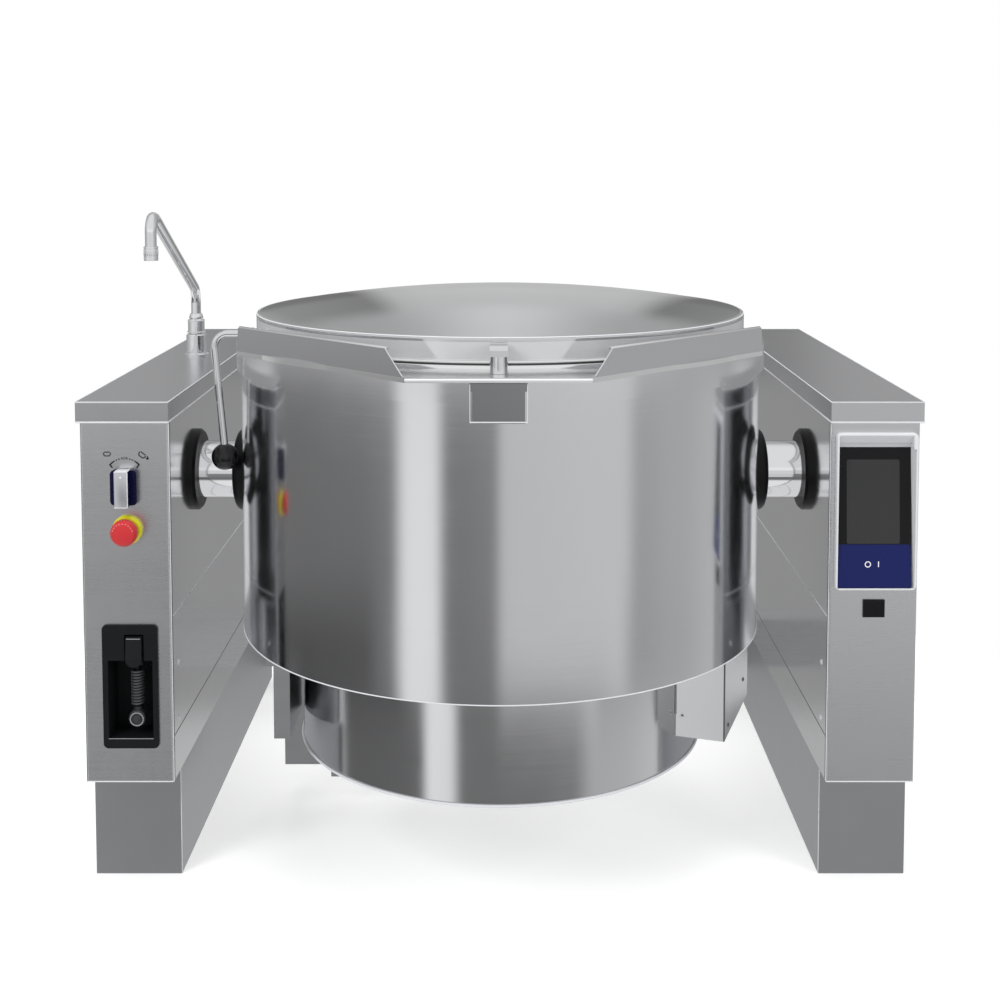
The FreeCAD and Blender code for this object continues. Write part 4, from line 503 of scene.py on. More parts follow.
class Finishes:
    """Every finish of the kettle, by the part that has it."""

    # The front panel, plinth and flange steels are lit and shaded copies of one stainless steel: their base greys
    # are painted lighter and darker part by part for how light falls on each.
    front = Steel("front_panel_steel", (0.63, 0.635, 0.65), roughness=0.28, grain=Grain.ALONG_X, line_contrast=0.018)
    wall = Steel("wall_panel_steel", (0.78, 0.785, 0.80), roughness=0.15, grain=Grain.ALONG_Y, line_contrast=0.015)
    cap = Steel("cap_steel", (0.58, 0.585, 0.60), roughness=0.25, grain=Grain.ALONG_Y, line_contrast=0.008)
    plinth = Steel("plinth_steel", (0.42, 0.425, 0.44), roughness=0.34, grain=Grain.ALONG_Y)
    shell = Steel("shell_steel", (0.70, 0.705, 0.72), roughness=0.13, grain=Grain.ROUND_VESSEL)
    band = Steel("band_steel", (0.70, 0.705, 0.72), roughness=0.13, grain=Grain.ROUND_VESSEL)
    flange = Steel("flange_steel", (0.86, 0.865, 0.88), roughness=0.20, grain=Grain.ROUND_VESSEL)
    sheet = Steel("sheet_steel", (0.64, 0.645, 0.66), grain=Grain.ALONG_X, line_contrast=0.015)
    bracket = Steel("bracket_steel", (0.31, 0.315, 0.325), roughness=0.2, grain=Grain.ALONG_X, line_contrast=0.015)
    bowl = Steel("bowl_steel", (0.70, 0.705, 0.72), roughness=0.32, grain=Grain.ROUND_VESSEL, line_contrast=0.012)
    lid = SkirtedSteel("lid_steel", (0.68, 0.69, 0.70), roughness=0.10, grain=Grain.ROUND_VESSEL)
    tube = Steel("trunnion_steel", (0.80, 0.805, 0.82), roughness=0.07, grain=Grain.ROUND_TRUNNION)
    rod = Steel("rod_steel", (0.76, 0.765, 0.78), roughness=0.12)
    screw = Steel("screw_steel", (0.55, 0.55, 0.56), roughness=0.25)
    frame_tube = Steel("frame_tube_steel", (0.42, 0.425, 0.44), roughness=0.4, grain=Grain.ALONG_Y)
    jacket = Steel("jacket_steel", (0.5, 0.505, 0.52), roughness=0.34, grain=Grain.ROUND_VESSEL)
    gear = Steel("gear_steel", (0.36, 0.355, 0.35), roughness=0.33, grain=Grain.ROUND_TRUNNION)
    heater = Steel("heater_steel", (0.36, 0.34, 0.31), roughness=0.42)
    silver = Steel("silver_paint", (0.62, 0.63, 0.66), roughness=0.33, line_contrast=0.02)
    edge = Steel("edge_steel", (0.86, 0.865, 0.88), roughness=0.16, line_contrast=0.02)
    spring = Moulded("spring_steel", (0.045, 0.046, 0.048), roughness=0.42, shine=0.6)
    # A pale matte grey, not steel, painted as highlights: bright lines along hems, edges and beads, and glints on
    # screws.
    pale_highlight = Moulded("pale_highlight_paint", (0.72, 0.73, 0.75), roughness=0.22, variation=0.04)
    seam = Moulded("seam_shadow", (0.10, 0.10, 0.105), roughness=0.5)
    bezel = Moulded("bezel_plastic", (0.70, 0.71, 0.73), roughness=0.3, variation=0.03)
    iron = Moulded("cast_iron_paint", (0.10, 0.105, 0.11), roughness=0.5, grain_scale=260.0, grain_depth=0.0003)
    motor = Moulded("motor_paint", (0.07, 0.09, 0.12), roughness=0.42, grain_scale=300.0, grain_depth=0.0002)
    rubber = Moulded("seal_rubber", (0.004, 0.004, 0.005), shine=0.2)
    gasket = Moulded("gasket_rubber", (0.22, 0.22, 0.215), roughness=0.6)
    ball = Moulded("ball_plastic", (0.005, 0.005, 0.006), roughness=0.16, coat=0.2, shine=0.3)
    navy = Moulded("navy_plastic", (0.003, 0.004, 0.035), roughness=0.28, shine=0.2)
    yellow = Moulded("yellow_plastic", (0.66, 0.62, 0.012), roughness=0.3, coat=0.2)
    red = Moulded("red_plastic", (0.56, 0.030, 0.034), roughness=0.32, shine=0.35)
    recess = Moulded("recess_plastic", (0.009, 0.010, 0.011), shine=0.12)
    lever = Moulded("lever_plastic", (0.012, 0.013, 0.014), roughness=0.3, shine=0.15)
    nozzle = Moulded("nozzle_plastic", (0.035, 0.037, 0.04), roughness=0.3, shine=0.35)
    port = Moulded("port_plastic", (0.006, 0.006, 0.007), roughness=0.3, shine=0.15)
    pink = Moulded("pink_ink", (0.80, 0.26, 0.24), roughness=0.3)
    # A mid grey painted as highlights on the recess lip, the nozzle rim and the lever top.
    grey_highlight = Moulded("grey_highlight_paint", (0.30, 0.305, 0.31), roughness=0.25)
    chrome = Plated("tap_chrome", (0.84, 0.85, 0.87), roughness=0.03)
    glass = Glass("screen_glass", (0.003, 0.003, 0.004))
    black_ink = Ink("black_ink", (0.008, 0.008, 0.009))
    white_ink = Ink("white_ink", (0.85, 0.85, 0.85))
    navy_ink = Ink("navy_ink", (0.006, 0.011, 0.085), roughness=0.2, shine=0.12)
    grey_ink = Ink("grey_ink", (0.032, 0.032, 0.033), roughness=0.2, shine=0.12)


FINISHED_NODES: Sequence[tuple[Finish, str]] = (
    (Finishes.front, "left_front_panel right_front_panel rear_panels rear_cross_beam"),
    (Finishes.wall, "left_upper_wall right_upper_wall left_lower_wall right_lower_wall"),
    (Finishes.cap, "left_side_panel right_side_panel left_cap right_cap"),
    (Finishes.plinth, "left_plinth right_plinth"),
    (Finishes.frame_tube, "left_frame right_frame"),
    (Finishes.shell, "upper_shell lower_shell"),
    (Finishes.band, "rim_band"),
    (Finishes.flange, "pouring_flange"),
    (Finishes.sheet, "left_pour_guard right_pour_guard service_box pipe_duct terminal_box"),
    (Finishes.sheet, "lid_hinge_bracket lid_hinge_arms"),
    (Finishes.bracket, "lip_bracket"),
    (Finishes.bowl, "inner_vessel lid_liner"),
    (Finishes.jacket, "steam_jacket"),
    (Finishes.lid, "lid_shell"),
    (Finishes.rod, "lid_latch lid_handle"),
    (Finishes.tube, "left_trunnion right_trunnion"),
    (Finishes.seam, "service_screws"),
    # The wall screws are painted pale as highlight glints.
    (Finishes.pale_highlight, "wall_screws"),
    (Finishes.heater, "heating_elements"),
    (Finishes.iron, "trunnion_bearings"),
    (Finishes.gear, "sector_gear drive_pinion"),
    (Finishes.motor, "gear_motor"),
    (Finishes.rubber, "wall_seals shell_seals"),
    (Finishes.gasket, "lid_gasket"),
    (Finishes.ball, "handle_ball"),
    (Finishes.chrome, "tap_base tap_spout"),
    (Finishes.navy, "selector_knob"),
    (Finishes.yellow, "stop_collar"),
    (Finishes.red, "stop_button"),
    (Finishes.recess, "spray_recess"),
    (Finishes.spring, "spray_neck"),
    (Finishes.nozzle, "spray_nozzle"),
    (Finishes.lever, "spray_lever"),
    (Finishes.bezel, "control_bezel"),
    (Finishes.glass, "control_screen"),
    (Finishes.port, "port_cover"),
)
NODE_FINISHES: dict[str, Finish] = {name: finish for finish, names in FINISHED_NODES for name in names.split()}


class Seat(Enum):
    """The body that a piece rides on, with its material slot in the record."""

    KNOB = ("selector", "knob_plastic")
    BUTTON = ("stop", "button_plastic")
    GUN = ("spray_gun", "neck_steel")
    LEVER = ("lever", "lever_plastic")
    RECESS = ("stand", "recess_plastic")
    PANEL = ("stand", "panel_steel")
    SCREEN = ("stand", "screen_glass")
    STAND_SCREW = ("stand", "screw_steel")
    TAP_BASE = ("stand", "tap_chrome")
    TAP_SPOUT = ("spout", "tap_chrome")
    VESSEL = ("kettle", "vessel_steel")
    KETTLE_SCREW = ("kettle", "screw_steel")
    BOWL = ("kettle", "bowl_steel")
    SEAL = ("kettle", "seal_rubber")
    LID = ("lid", "lid_steel")


@dataclass(frozen=True)
class Bar:
    """A bevelled box: its middle, its lengths and how far its edges are cut back."""

    centre: Triple
    size: Triple
    bevel: float


def washer(inner: float, outer: float, thick: float) -> list[Place]:
    """Return the closed profile of a flat ring."""
    return [(inner, 0.0), (outer, 0.0), (outer, thick), (inner, thick), (inner, 0.0)]


class Shape:
    """A mesh in the making, put together from bmesh operators."""

    def __init__(self) -> None:
        """Start an empty mesh."""
        self.mesh = bmesh.new()

    def bevelled(self, edges: Iterable[Any], offset: float, segments: int = 2) -> "Shape":
        """Cut edges back.

        Args:
            edges: the edges.
            offset: how far they are cut back.
            segments: how many faces round each of them.

        Returns:
            The shape itself.
        """
        bmesh.ops.bevel(
            self.mesh, geom=list(edges), offset=offset, offset_type="OFFSET", segments=segments,
            profile=0.5, affect="EDGES", material=-1)
        return self

    def block(self, centre: Triple, size: Triple, bevel: float = 0.0, turn: Matrix | None = None) -> "Shape":
        """Add a box with bevelled edges.

        Args:
            centre: its middle.
            size: its lengths along its own axes.
            bevel: how far its edges are cut back.
            turn: a rotation about its middle.

        Returns:
            The shape itself.
        """
        rotation = turn.to_3x3() if turn else Matrix.Identity(3)
        place = Matrix.Translation(centre) @ rotation.to_4x4() @ Matrix.Diagonal((*size, 1.0))
        made = bmesh.ops.create_cube(self.mesh, size=1.0, matrix=place)
        if bevel:
            self.bevelled({edge for vertex in made["verts"] for edge in vertex.link_edges}, bevel)
        return self

    def bars(self, bars: Iterable[Bar], origin: Triple = NOWHERE, side: float = 1.0) -> "Shape":
        """Add several boxes.

        Args:
            bars: the boxes, placed from the origin.
            origin: where their places start.
            side: -1 mirrors their places from right to left.

        Returns:
            The shape itself.
        """
        for bar in bars:
            x, y, z = bar.centre
            self.block((origin[0] + side * x, origin[1] + y, origin[2] + z), bar.size, bar.bevel)
        return self

    def rod(self, start: Triple, end: Triple, radius: float, sides: int = 20, bevel: float = 0.0) -> "Shape":
        """Add a round rod between two points.

        Args:
            start: the middle of one end.
            end: the middle of the other.
            radius: its radius.
            sides: how many faces it has round it.
            bevel: how far its end edges are cut back.

        Returns:
            The shape itself.
        """
        first, last = Vector(start), Vector(end)
        along = last - first
        place = Matrix.Translation((first + last) / 2.0) @ along.to_track_quat("Z", "Y").to_matrix().to_4x4()
        made = bmesh.ops.create_cone(
            self.mesh, cap_ends=True, cap_tris=False, segments=sides, radius1=radius,
            radius2=radius, depth=along.length, matrix=place)
        if bevel:
            ends = [face for face in {f for v in made["verts"] for f in v.link_faces} if len(face.verts) > 4]
            self.bevelled({edge for face in ends for edge in face.edges}, bevel)
        return self

    def lathe(
        self,
        corners: Iterable[Place],
        centre: Triple,
        axis: Triple = UPWARD,
        steps: int = 48,
    ) -> "Shape":
        """Turn a profile about an axis.

        Args:
            corners: radius and height of each corner, in order; a closed profile ends where it starts.
            centre: a point on the axis, where the height is nothing.
            axis: the direction of the height.
            steps: how many faces it has round it.

        Returns:
            The shape itself.
        """
        middle, up = Vector(centre), Vector(axis).normalized()
        side = up.orthogonal().normalized()
        places = [middle + side * radius + up * height for radius, height in corners]
        last = bmesh.ops.create_vert(self.mesh, co=places[0])["vert"][0]
        chain: list[Any] = [last]
        for place in places[1:]:
            grown = bmesh.ops.extrude_vert_indiv(self.mesh, verts=[last])
            last = grown["verts"][0]
            last.co = place
            chain += [last, *grown["edges"]]
        bmesh.ops.spin(
            self.mesh, geom=chain, cent=middle, axis=up, angle=FULL_TURN, steps=steps, use_merge=True)
        return self

    def hoop(
        self,
        centre: Triple,
        radius: float,
        wire: float,
        axis: Triple = UPWARD,
        steps: int = FINE_RING_STEPS,
    ) -> "Shape":
        """Add a round ring of round wire.

        Args:
            centre: its middle.
            radius: from its middle to the middle of the wire.
            wire: the radius of the wire.
            axis: the direction that it faces.
            steps: how many faces it has round it.

        Returns:
            The shape itself.
        """
        turns = [number * math.pi / 4.0 for number in range(9)]
        corners = [(radius + wire * math.cos(turn), wire * math.sin(turn)) for turn in turns]
        return self.lathe(corners, centre, axis, steps)

    def coil(self, foot: Triple, radius: float, wire: float, rise: float, turns: int, steps: int) -> "Shape":
        """Wind a round wire into an upright coil.

        Args:
            foot: the middle of its lowest turn.
            radius: from its axis to the middle of the wire.
            wire: the radius of the wire.
            rise: its height from the first turn to the last.
            turns: how many turns it has.
            steps: how many faces each turn has.

        Returns:
            The shape itself.
        """
        start = Vector(foot) + Vector((radius, 0.0, 0.0))
        place = Matrix.Translation(start) @ Matrix.Rotation(math.pi / 2.0, 4, "X")
        made = bmesh.ops.create_circle(self.mesh, cap_ends=False, segments=8, radius=wire, matrix=place)
        edges = list({edge for vertex in made["verts"] for edge in vertex.link_edges})
        count = turns * steps
        bmesh.ops.spin(
            self.mesh, geom=[*made["verts"], *edges], cent=Vector(foot), axis=UPWARD,
            dvec=Vector((0.0, 0.0, rise / count)), angle=FULL_TURN * turns, steps=count, use_merge=False)
        return self

    def piece(self, name: str, finish: Finish, seat: Seat, stands_for: str = "") -> None:
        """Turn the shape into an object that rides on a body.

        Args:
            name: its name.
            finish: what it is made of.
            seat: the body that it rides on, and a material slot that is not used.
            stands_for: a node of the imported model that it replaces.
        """
        bmesh.ops.remove_doubles(self.mesh, verts=self.mesh.verts[:], dist=1e-6)
        bmesh.ops.recalc_face_normals(self.mesh, faces=self.mesh.faces[:])
        mesh = bpy.data.meshes.new(name)
        self.mesh.to_mesh(mesh)
        self.mesh.free()
        mesh.shade_smooth()
        mesh.set_sharp_from_angle(angle=math.radians(38.0))
        mesh.materials.append(finish.material())
        thing = bpy.data.objects.new(name, mesh)
        bpy.context.scene.collection.objects.link(thing)
        body, slot = seat.value
        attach(thing, body)
        if stands_for:
            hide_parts(stands_for)
        log.info("%s: %d faces on %s", name, len(mesh.polygons), body)


@dataclass
class Selector:
    """Tilt selector: a bright grip plate and the printed scale above it."""

    knob: Place = (-0.675, 0.746)
    face: float = FRONT - 0.030
    plate: Sequence[Bar] = (Bar((0.0, 0.0004, 0.0), (0.0236, 0.0022, 0.0636), 0.0008),)
    edges: Sequence[Bar] = (
        Bar((0.0, 0.0139, 0.0322), (0.0236, 0.0284, 0.0014), 0.0005),
        Bar((0.0, 0.0004, -0.0319), (0.0240, 0.0026, 0.0018), 0.0006),
        Bar((0.0118, 0.0006, 0.0), (0.0016, 0.0028, 0.0636), 0.0006))
    dot_rise: float = 0.023
    scale_height: float = 0.7622
    scale_radius: float = 0.0352
    ink: float = 0.00025
    thin: float = 0.0019
    bold: float = 0.0026
    dots: Sequence[float] = (-32.0, -24.0, -16.0, 16.0, 24.0, 32.0)
    dashes: Sequence[float] = (38.0, 42.0, 46.0)
    tick: Place = (0.0045, 0.0014)
    pot_outline: Sequence[Place] = (
        (-1.0, 0.15), (-0.92, -0.55), (-0.6, -0.95), (0.6, -0.95), (0.92, -0.55), (1.0, 0.15))
    jet: Sequence[tuple[Place, Place]] = (
        ((-0.6335, 0.8010), (-0.6335, 0.7960)),
        ((-0.6355, 0.7978), (-0.6335, 0.7955)),
        ((-0.6315, 0.7978), (-0.6335, 0.7955)))

    def build(self) -> None:
        """Make the plate, its edges, its dot, the scale and the pictograms."""
        x, z = self.knob
        origin = (x, self.face, z)
        Shape().bars(self.plate, origin).piece("selector_grip_plate", Finishes.silver, Seat.KNOB)
        # The bar's edges are pale strips painted as highlights.
        Shape().bars(self.edges, origin).piece("selector_edge_highlights", Finishes.pale_highlight, Seat.KNOB)
        height = z + self.dot_rise
        mark = Shape().rod((x, self.face - 0.0012, height), (x, self.face + 0.0002, height), 0.0016, 16, 0.0003)
        mark.piece("selector_dot", Finishes.white_ink, Seat.KNOB)
        self.scale()
        self.pots()

    def spot(self, degrees: float, radius: float) -> Place:
        """Return the place on the panel at an angle from straight up."""
        turn = math.radians(degrees)
        return self.knob[0] + radius * math.sin(turn), self.scale_height + radius * math.cos(turn)

    def stroke(self, shape: Shape, start: Place, end: Place, width: float) -> None:
        """Add one printed line to a shape.

        Args:
            shape: the shape.
            start: where the line starts on the panel.
            end: where it ends.
            width: how broad it is.
        """
        across, up = end[0] - start[0], end[1] - start[1]
        middle = ((start[0] + end[0]) / 2.0, FRONT - self.ink / 2.0, (start[1] + end[1]) / 2.0)
        turn = Matrix.Rotation(-math.atan2(up, across), 4, "Y")
        shape.block(middle, (math.hypot(across, up) + width * 0.6, self.ink, width), width * 0.2, turn)

    def scale(self) -> None:
        """Print the dotted arc with its middle mark and its two stops."""
        shape, radius = Shape(), self.scale_radius
        for angle in self.dots:
            self.stroke(shape, self.spot(angle - 1.6, radius), self.spot(angle + 1.6, radius), self.thin)
        for side in (-1.0, 1.0):
            for angle in self.dashes:
                near, far = self.spot(side * (angle - 2.2), radius), self.spot(side * (angle + 2.2), radius)
                self.stroke(shape, near, far, self.bold)
            self.stroke(shape, self.spot(side * 48.0, radius), self.spot(side * 50.0, radius - 0.0062), self.bold)
        x, z = self.spot(0.0, radius)
        shape.lathe(washer(0.0016, 0.0024, self.ink), (x, FRONT - self.ink / 2.0, z), FORWARD, 20)
        across, half = self.tick
        for side in (-1.0, 1.0):
            self.stroke(shape, (x + side * across, z - half), (x + side * across, z + half), self.thin)
        shape.piece("selector_scale", Finishes.black_ink, Seat.PANEL)

    def pot(self, shape: Shape, centre: Place, tilt: float, size: float) -> None:
        """Print a pot seen from the side.

        Args:
            shape: the shape to add it to.
            centre: the middle of its rim.
            tilt: how far it is tipped, in degrees.
            size: half of its width.
        """
        turn = math.radians(tilt)

        def at(across: float, up: float) -> Place:
            """Return the place of a point of the pot on the panel."""
            return (
                centre[0] + across * math.cos(turn) + up * math.sin(turn),
                centre[1] - across * math.sin(turn) + up * math.cos(turn))

        places = [at(across * size, up * size * 0.8) for across, up in self.pot_outline]
        for first, second in zip(places, places[1:]):
            self.stroke(shape, first, second, self.thin)
        self.stroke(shape, at(-size * 0.75, size * 0.35), at(size * 0.75, size * 0.35), self.thin)

    def pots(self) -> None:
        """Print the upright pot on the left and the tilted pot with its jet on the right."""
        shape = Shape()
        self.pot(shape, (-0.7062, 0.8065), 0.0, 0.0062)
        self.pot(shape, (-0.6425, 0.8045), 38.0, 0.0066)
        for start, end in self.jet:
            self.stroke(shape, start, end, self.thin)
        shape.piece("selector_pictograms", Finishes.black_ink, Seat.PANEL)


@dataclass
class StopButton:
    """Grip ribs and turning marks on the head of the stop button."""

    centre: Place = (-0.671, 0.668)
    ribs: int = 30
    marks: int = 9
    bevel: float = 0.0005

    def ring(self, turns: Iterable[float], radius: float, depth: float, size: Triple) -> Shape:
        """Set small blocks in a ring.

        Args:
            turns: their angles, in radians.
            radius: from the middle of the button to theirs.
            depth: how far they are before the panel.
            size: their lengths outward, forward and along the ring.

        Returns:
            The blocks.
        """
        x, z = self.centre
        shape = Shape()
        for turn in turns:
            place = (x + radius * math.cos(turn), FRONT - depth, z + radius * math.sin(turn))
            shape.block(place, size, self.bevel, Matrix.Rotation(-turn, 4, "Y"))
        return shape

    def build(self) -> None:
        """Make the ribs and the marks."""
        turns = [FULL_TURN * number / self.ribs for number in range(self.ribs)]
        ribs = self.ring(turns, 0.0234, 0.0265, (0.0014, 0.0105, 0.0020))
        ribs.piece("stop_ribs", Finishes.red, Seat.BUTTON)
        turns = [math.radians(20.0 + 17.5 * number) for number in range(self.marks)]
        marks = self.ring(turns, 0.0186, 0.03795, (0.0016, 0.0012, 0.0030))
        marks.piece("stop_marks", Finishes.pink, Seat.BUTTON)


@dataclass
class Spray:
    """Spray gun: hose core, wound spring and grip, with highlights painted on the lip of its recess, the nozzle rim
    and the lever.
    """

    x: float = -0.663
    y: float = FRONT + 0.022
    low: float = 0.335
    high: float = 0.412
    core: Sequence[Place] = (
        (0.0, 0.0), (0.0098, 0.0), (0.0098, 0.002), (0.0086, 0.003), (0.0086, 0.063), (0.0060, 0.066),
        (0.0060, 0.078), (0.0, 0.078))
    coil_radius: float = 0.0110
    coil_wire: float = 0.0021
    grip: Triple = (0.0214, 0.012, 0.061)
    pin_half: float = 0.0145
    pin_height: float = 0.465
    ring_place: Place = (-0.3914, 0.3135)
    lip: Bar = Bar((-0.6705, FRONT - 0.0041, 0.2822), (0.082, 0.0012, 0.0012), 0.0004)
    ridge: Bar = Bar((-0.663, FRONT - 0.0085, 0.4685), (0.025, 0.003, 0.0012), 0.0004)

    def build(self) -> None:
        """Make the gun, and the painted highlights on the nozzle, the recess lip and the lever."""
        x, y = self.x, self.y
        foot, rise = (x, y, self.low + 0.0022), self.high - self.low - 0.0125
        coil = Shape().coil(foot, self.coil_radius, self.coil_wire, rise, 12, 24)
        coil.piece("spray_spring", Finishes.spring, Seat.GUN, "spray_neck")
        core = Shape().lathe(self.core, (x, y, self.low), steps=28)
        core.piece("spray_hose", Finishes.rubber, Seat.GUN, "spray_neck")
        grip = Shape().block((x, y, 0.4415), self.grip, 0.002)
        ends = [(x + side * self.pin_half, y - 0.003, self.pin_height) for side in (-1.0, 1.0)]
        grip.rod(ends[0], ends[1], 0.0025, 16, 0.0004)
        grip.piece("spray_grip", Finishes.lever, Seat.GUN, "spray_neck")
        # Rings and strips painted as highlights on the nozzle rim, the recess lip and the lever top.
        ring = Shape().hoop((x, *self.ring_place), 0.0118, 0.0011, FORWARD, 32)
        ring.piece("nozzle_ring_highlight", Finishes.grey_highlight, Seat.GUN)
        Shape().bars([self.lip]).piece("recess_lip_highlight", Finishes.grey_highlight, Seat.RECESS)
        Shape().bars([self.ridge]).piece("lever_ridge_highlight", Finishes.grey_highlight, Seat.LEVER)


@dataclass
class ControlUnit:
    """Display, coloured band and switch marks under the leaning glass."""

    foot: float = FRONT - 0.011
    low: float = 0.563
    lean: float = 0.020 / 0.253
    proud: float = 0.0002
    corner: float = 0.003
    mark_height: float = 0.6058
    mark_proud: float = 0.0004

    def depth(self, height: float) -> float:
        """Return how far back the face of the glass is at a height."""
        return self.foot + (height - self.low) * self.lean

    def plate(self, name: str, finish: Finish, across: Place, up: Place) -> None:
        """Lay a thin plate with round corners on the glass.

        Args:
            name: its name.
            finish: what it is made of.
            across: its left and right edge.
            up: its lower and upper edge.
        """
        x, z = (across[0] + across[1]) / 2.0, (up[0] + up[1]) / 2.0
        centre = (x, self.depth(z) - self.proud / 2.0, z)
        turn = Matrix.Rotation(-math.atan(self.lean), 4, "X")
        shape = Shape().block(centre, (across[1] - across[0], self.proud, up[1] - up[0]), 0.0, turn)
        corners = [
            edge for edge in shape.mesh.edges
            if abs((edge.verts[0].co - edge.verts[1].co).length - self.proud) < 1e-6]
        shape.bevelled(corners, self.corner, 4).piece(name, finish, Seat.SCREEN)

    def build(self) -> None:
        """Make the display, the band and the two switch marks."""
        self.plate("display", Finishes.grey_ink, (0.6253, 0.7206), (0.6425, 0.794))
        self.plate("band", Finishes.navy_ink, (0.6088, 0.7402), (0.5638, 0.6415))
        face = self.depth(self.mark_height) - self.mark_proud
        marks = Shape().lathe(washer(0.0040, 0.0056, 0.0003), (0.6630, face, self.mark_height), FORWARD, 32)
        marks.block((0.6821, face, self.mark_height), (0.0016, 0.0004, 0.0108), 0.0001)
        marks.piece("switch_marks", Finishes.white_ink, Seat.SCREEN)


@dataclass(frozen=True)
class Rolled:
    """A round edge about the vessel axis."""

    name: str
    radius: float
    wire: float
    height: float
    finish: Finish
    seat: Seat = Seat.VESSEL


@dataclass
class Edges:
    """Hems and edges of the sheet metal with pale highlights painted along them, and rolled edges."""

    front: float = FRONT - 0.001
    rear: float = 0.7315
    cap_foot: float = 0.862
    cap_top: float = 0.900
    cap_sides: Place = (0.595, 0.762)
    hem_height: float = 0.0030
    hem_wall: float = 0.0018
    line: float = 0.0016
    sunk: float = 0.0006
    guard_top: float = 1.035
    panel_edge_highlights: Sequence[Bar] = (
        Bar((0.5949, FRONT + 0.0006, 0.531), (0.0014, 0.0018, 0.660), 0.0005),
        Bar((0.675, FRONT, 0.2004), (0.160, 0.0016, 0.0022), 0.0005),
        Bar((0.5949, -0.3453, 0.100), (0.0014, 0.0016, 0.198), 0.0005),
        Bar((0.5949, 0.148, 0.5046), (0.0009, 1.074, 0.0020), 0.0003))
    wall_seams: Sequence[Bar] = (
        Bar((0.5949, 0.148, 0.2820), (0.0006, 1.074, 0.0016), 0.0002),
        Bar((0.5949, -0.3903, 0.531), (0.0006, 0.0012, 0.658), 0.0002))
    bracket_edge_highlights: Sequence[Bar] = (
        Bar((0.0, -0.7240, 0.9215), (0.091, 0.0016, 0.0022), 0.0005),
        Bar((-0.0452, -0.7240, 0.951), (0.0012, 0.0014, 0.062), 0.0004),
        Bar((0.0452, -0.7240, 0.951), (0.0012, 0.0014, 0.062), 0.0004))
    # The pale shell, bead and lid shoulder rings below are painted highlights.
    rolled: Sequence[Rolled] = (
        Rolled("shell_hem_highlight", 0.4960, 0.0011, 0.4468, Finishes.pale_highlight),
        Rolled("pan_bead_highlight", 0.3862, 0.0024, 0.2282, Finishes.pale_highlight),
        Rolled("lid_roll", 0.4612, 0.0050, 1.0420, Finishes.lid, Seat.LID),
        Rolled("lid_shoulder_highlight", 0.4650, 0.0012, 1.0450, Finishes.pale_highlight, Seat.LID),
        Rolled("lid_bead_edge", 0.4702, 0.0022, 1.0065, Finishes.edge, Seat.LID))
    upstand: Sequence[Place] = (
        (0.4622, 0.9925), (0.4686, 0.9925), (0.4686, 0.9992), (0.4678, 1.0003), (0.4630, 1.0003),
        (0.4622, 0.9992), (0.4622, 0.9925))

    def build(self) -> None:
        """Make the hems of the caps, panels and guards and the rolled edges of the vessel; the pale strips and rings
        among them are painted highlights.
        """
        for hand, side in (("left", -1.0), ("right", 1.0)):
            self.pale_highlight(hand, side)
            # The panel edges are pale strips painted as highlights.
            edges = Shape().bars(self.panel_edge_highlights, side=side)
            edges.piece(f"{hand}_panel_edge_highlights", Finishes.pale_highlight, Seat.PANEL)
            seams = Shape().bars(self.wall_seams, side=side)
            seams.piece(f"{hand}_wall_seams", Finishes.seam, Seat.PANEL)
            self.guard(hand, side)
        for edge in self.rolled:
            hoop = Shape().hoop((0.0, AXIS_Y, edge.height), edge.radius, edge.wire)
            hoop.piece(edge.name, edge.finish, edge.seat)
        upstand = Shape().lathe(self.upstand, VESSEL_FOOT, steps=FINE_RING_STEPS)
        upstand.piece("rim_upstand", Finishes.flange, Seat.VESSEL)
        # The lip's front edge and the bracket edges are pale strips painted as highlights.
        lip = Shape().rod((-0.147, -0.7318, 0.9893), (0.147, -0.7318, 0.9893), 0.0022, 12)
        lip.piece("lip_front_highlight", Finishes.pale_highlight, Seat.VESSEL)
        Shape().bars(self.bracket_edge_highlights).piece("bracket_edge_highlights", Finishes.pale_highlight, Seat.VESSEL)

    def pale_highlight(self, hand: str, side: float) -> None:
        """Lay narrow pale strips, painted highlights, along the foot and the top corners of a cap.

        Args:
            hand: left or right.
            side: -1 for left and 1 for right.
        """
        shape, line = Shape(), self.line
        foot = self.cap_foot + self.hem_height / 2.0 - self.sunk
        top = self.cap_top - self.sunk
        inner, outer = (side * place for place in self.cap_sides)
        middle, length = (self.front + self.rear) / 2.0, self.rear - self.front
        across, width = (inner + outer) / 2.0, abs(outer - inner)
        for x in (inner, outer):
            shape.block((x, middle, foot), (self.hem_wall, length, self.hem_height), 0.0006)
            shape.block((x, middle, top), (line, length, line), 0.0004)
        for y in (self.front, self.rear):
            shape.block((across, y, foot), (width, self.hem_wall, self.hem_height), 0.0006)
            shape.block((across, y, top), (width, line, line), 0.0004)
        shape.piece(f"{hand}_cap_hem_highlight", Finishes.pale_highlight, Seat.PANEL)

    def guard(self, hand: str, side: float) -> None:
        """Roll the top edge of a pour guard and line its cut end.

        Args:
            hand: left or right.
            side: -1 for left and 1 for right.
        """
        top = self.guard_top - self.sunk
        shape = Shape().rod((side * 0.1772, -0.6954, top), (side * 0.4622, -0.4104, top), 0.0034, 12, 0.0006)
        shape.rod((side * 0.1800, -0.6976, 1.0345), (side * 0.1510, -0.7266, 0.9945), 0.0010, 8)
        shape.piece(f"{hand}_guard_roll", Finishes.edge, Seat.VESSEL)


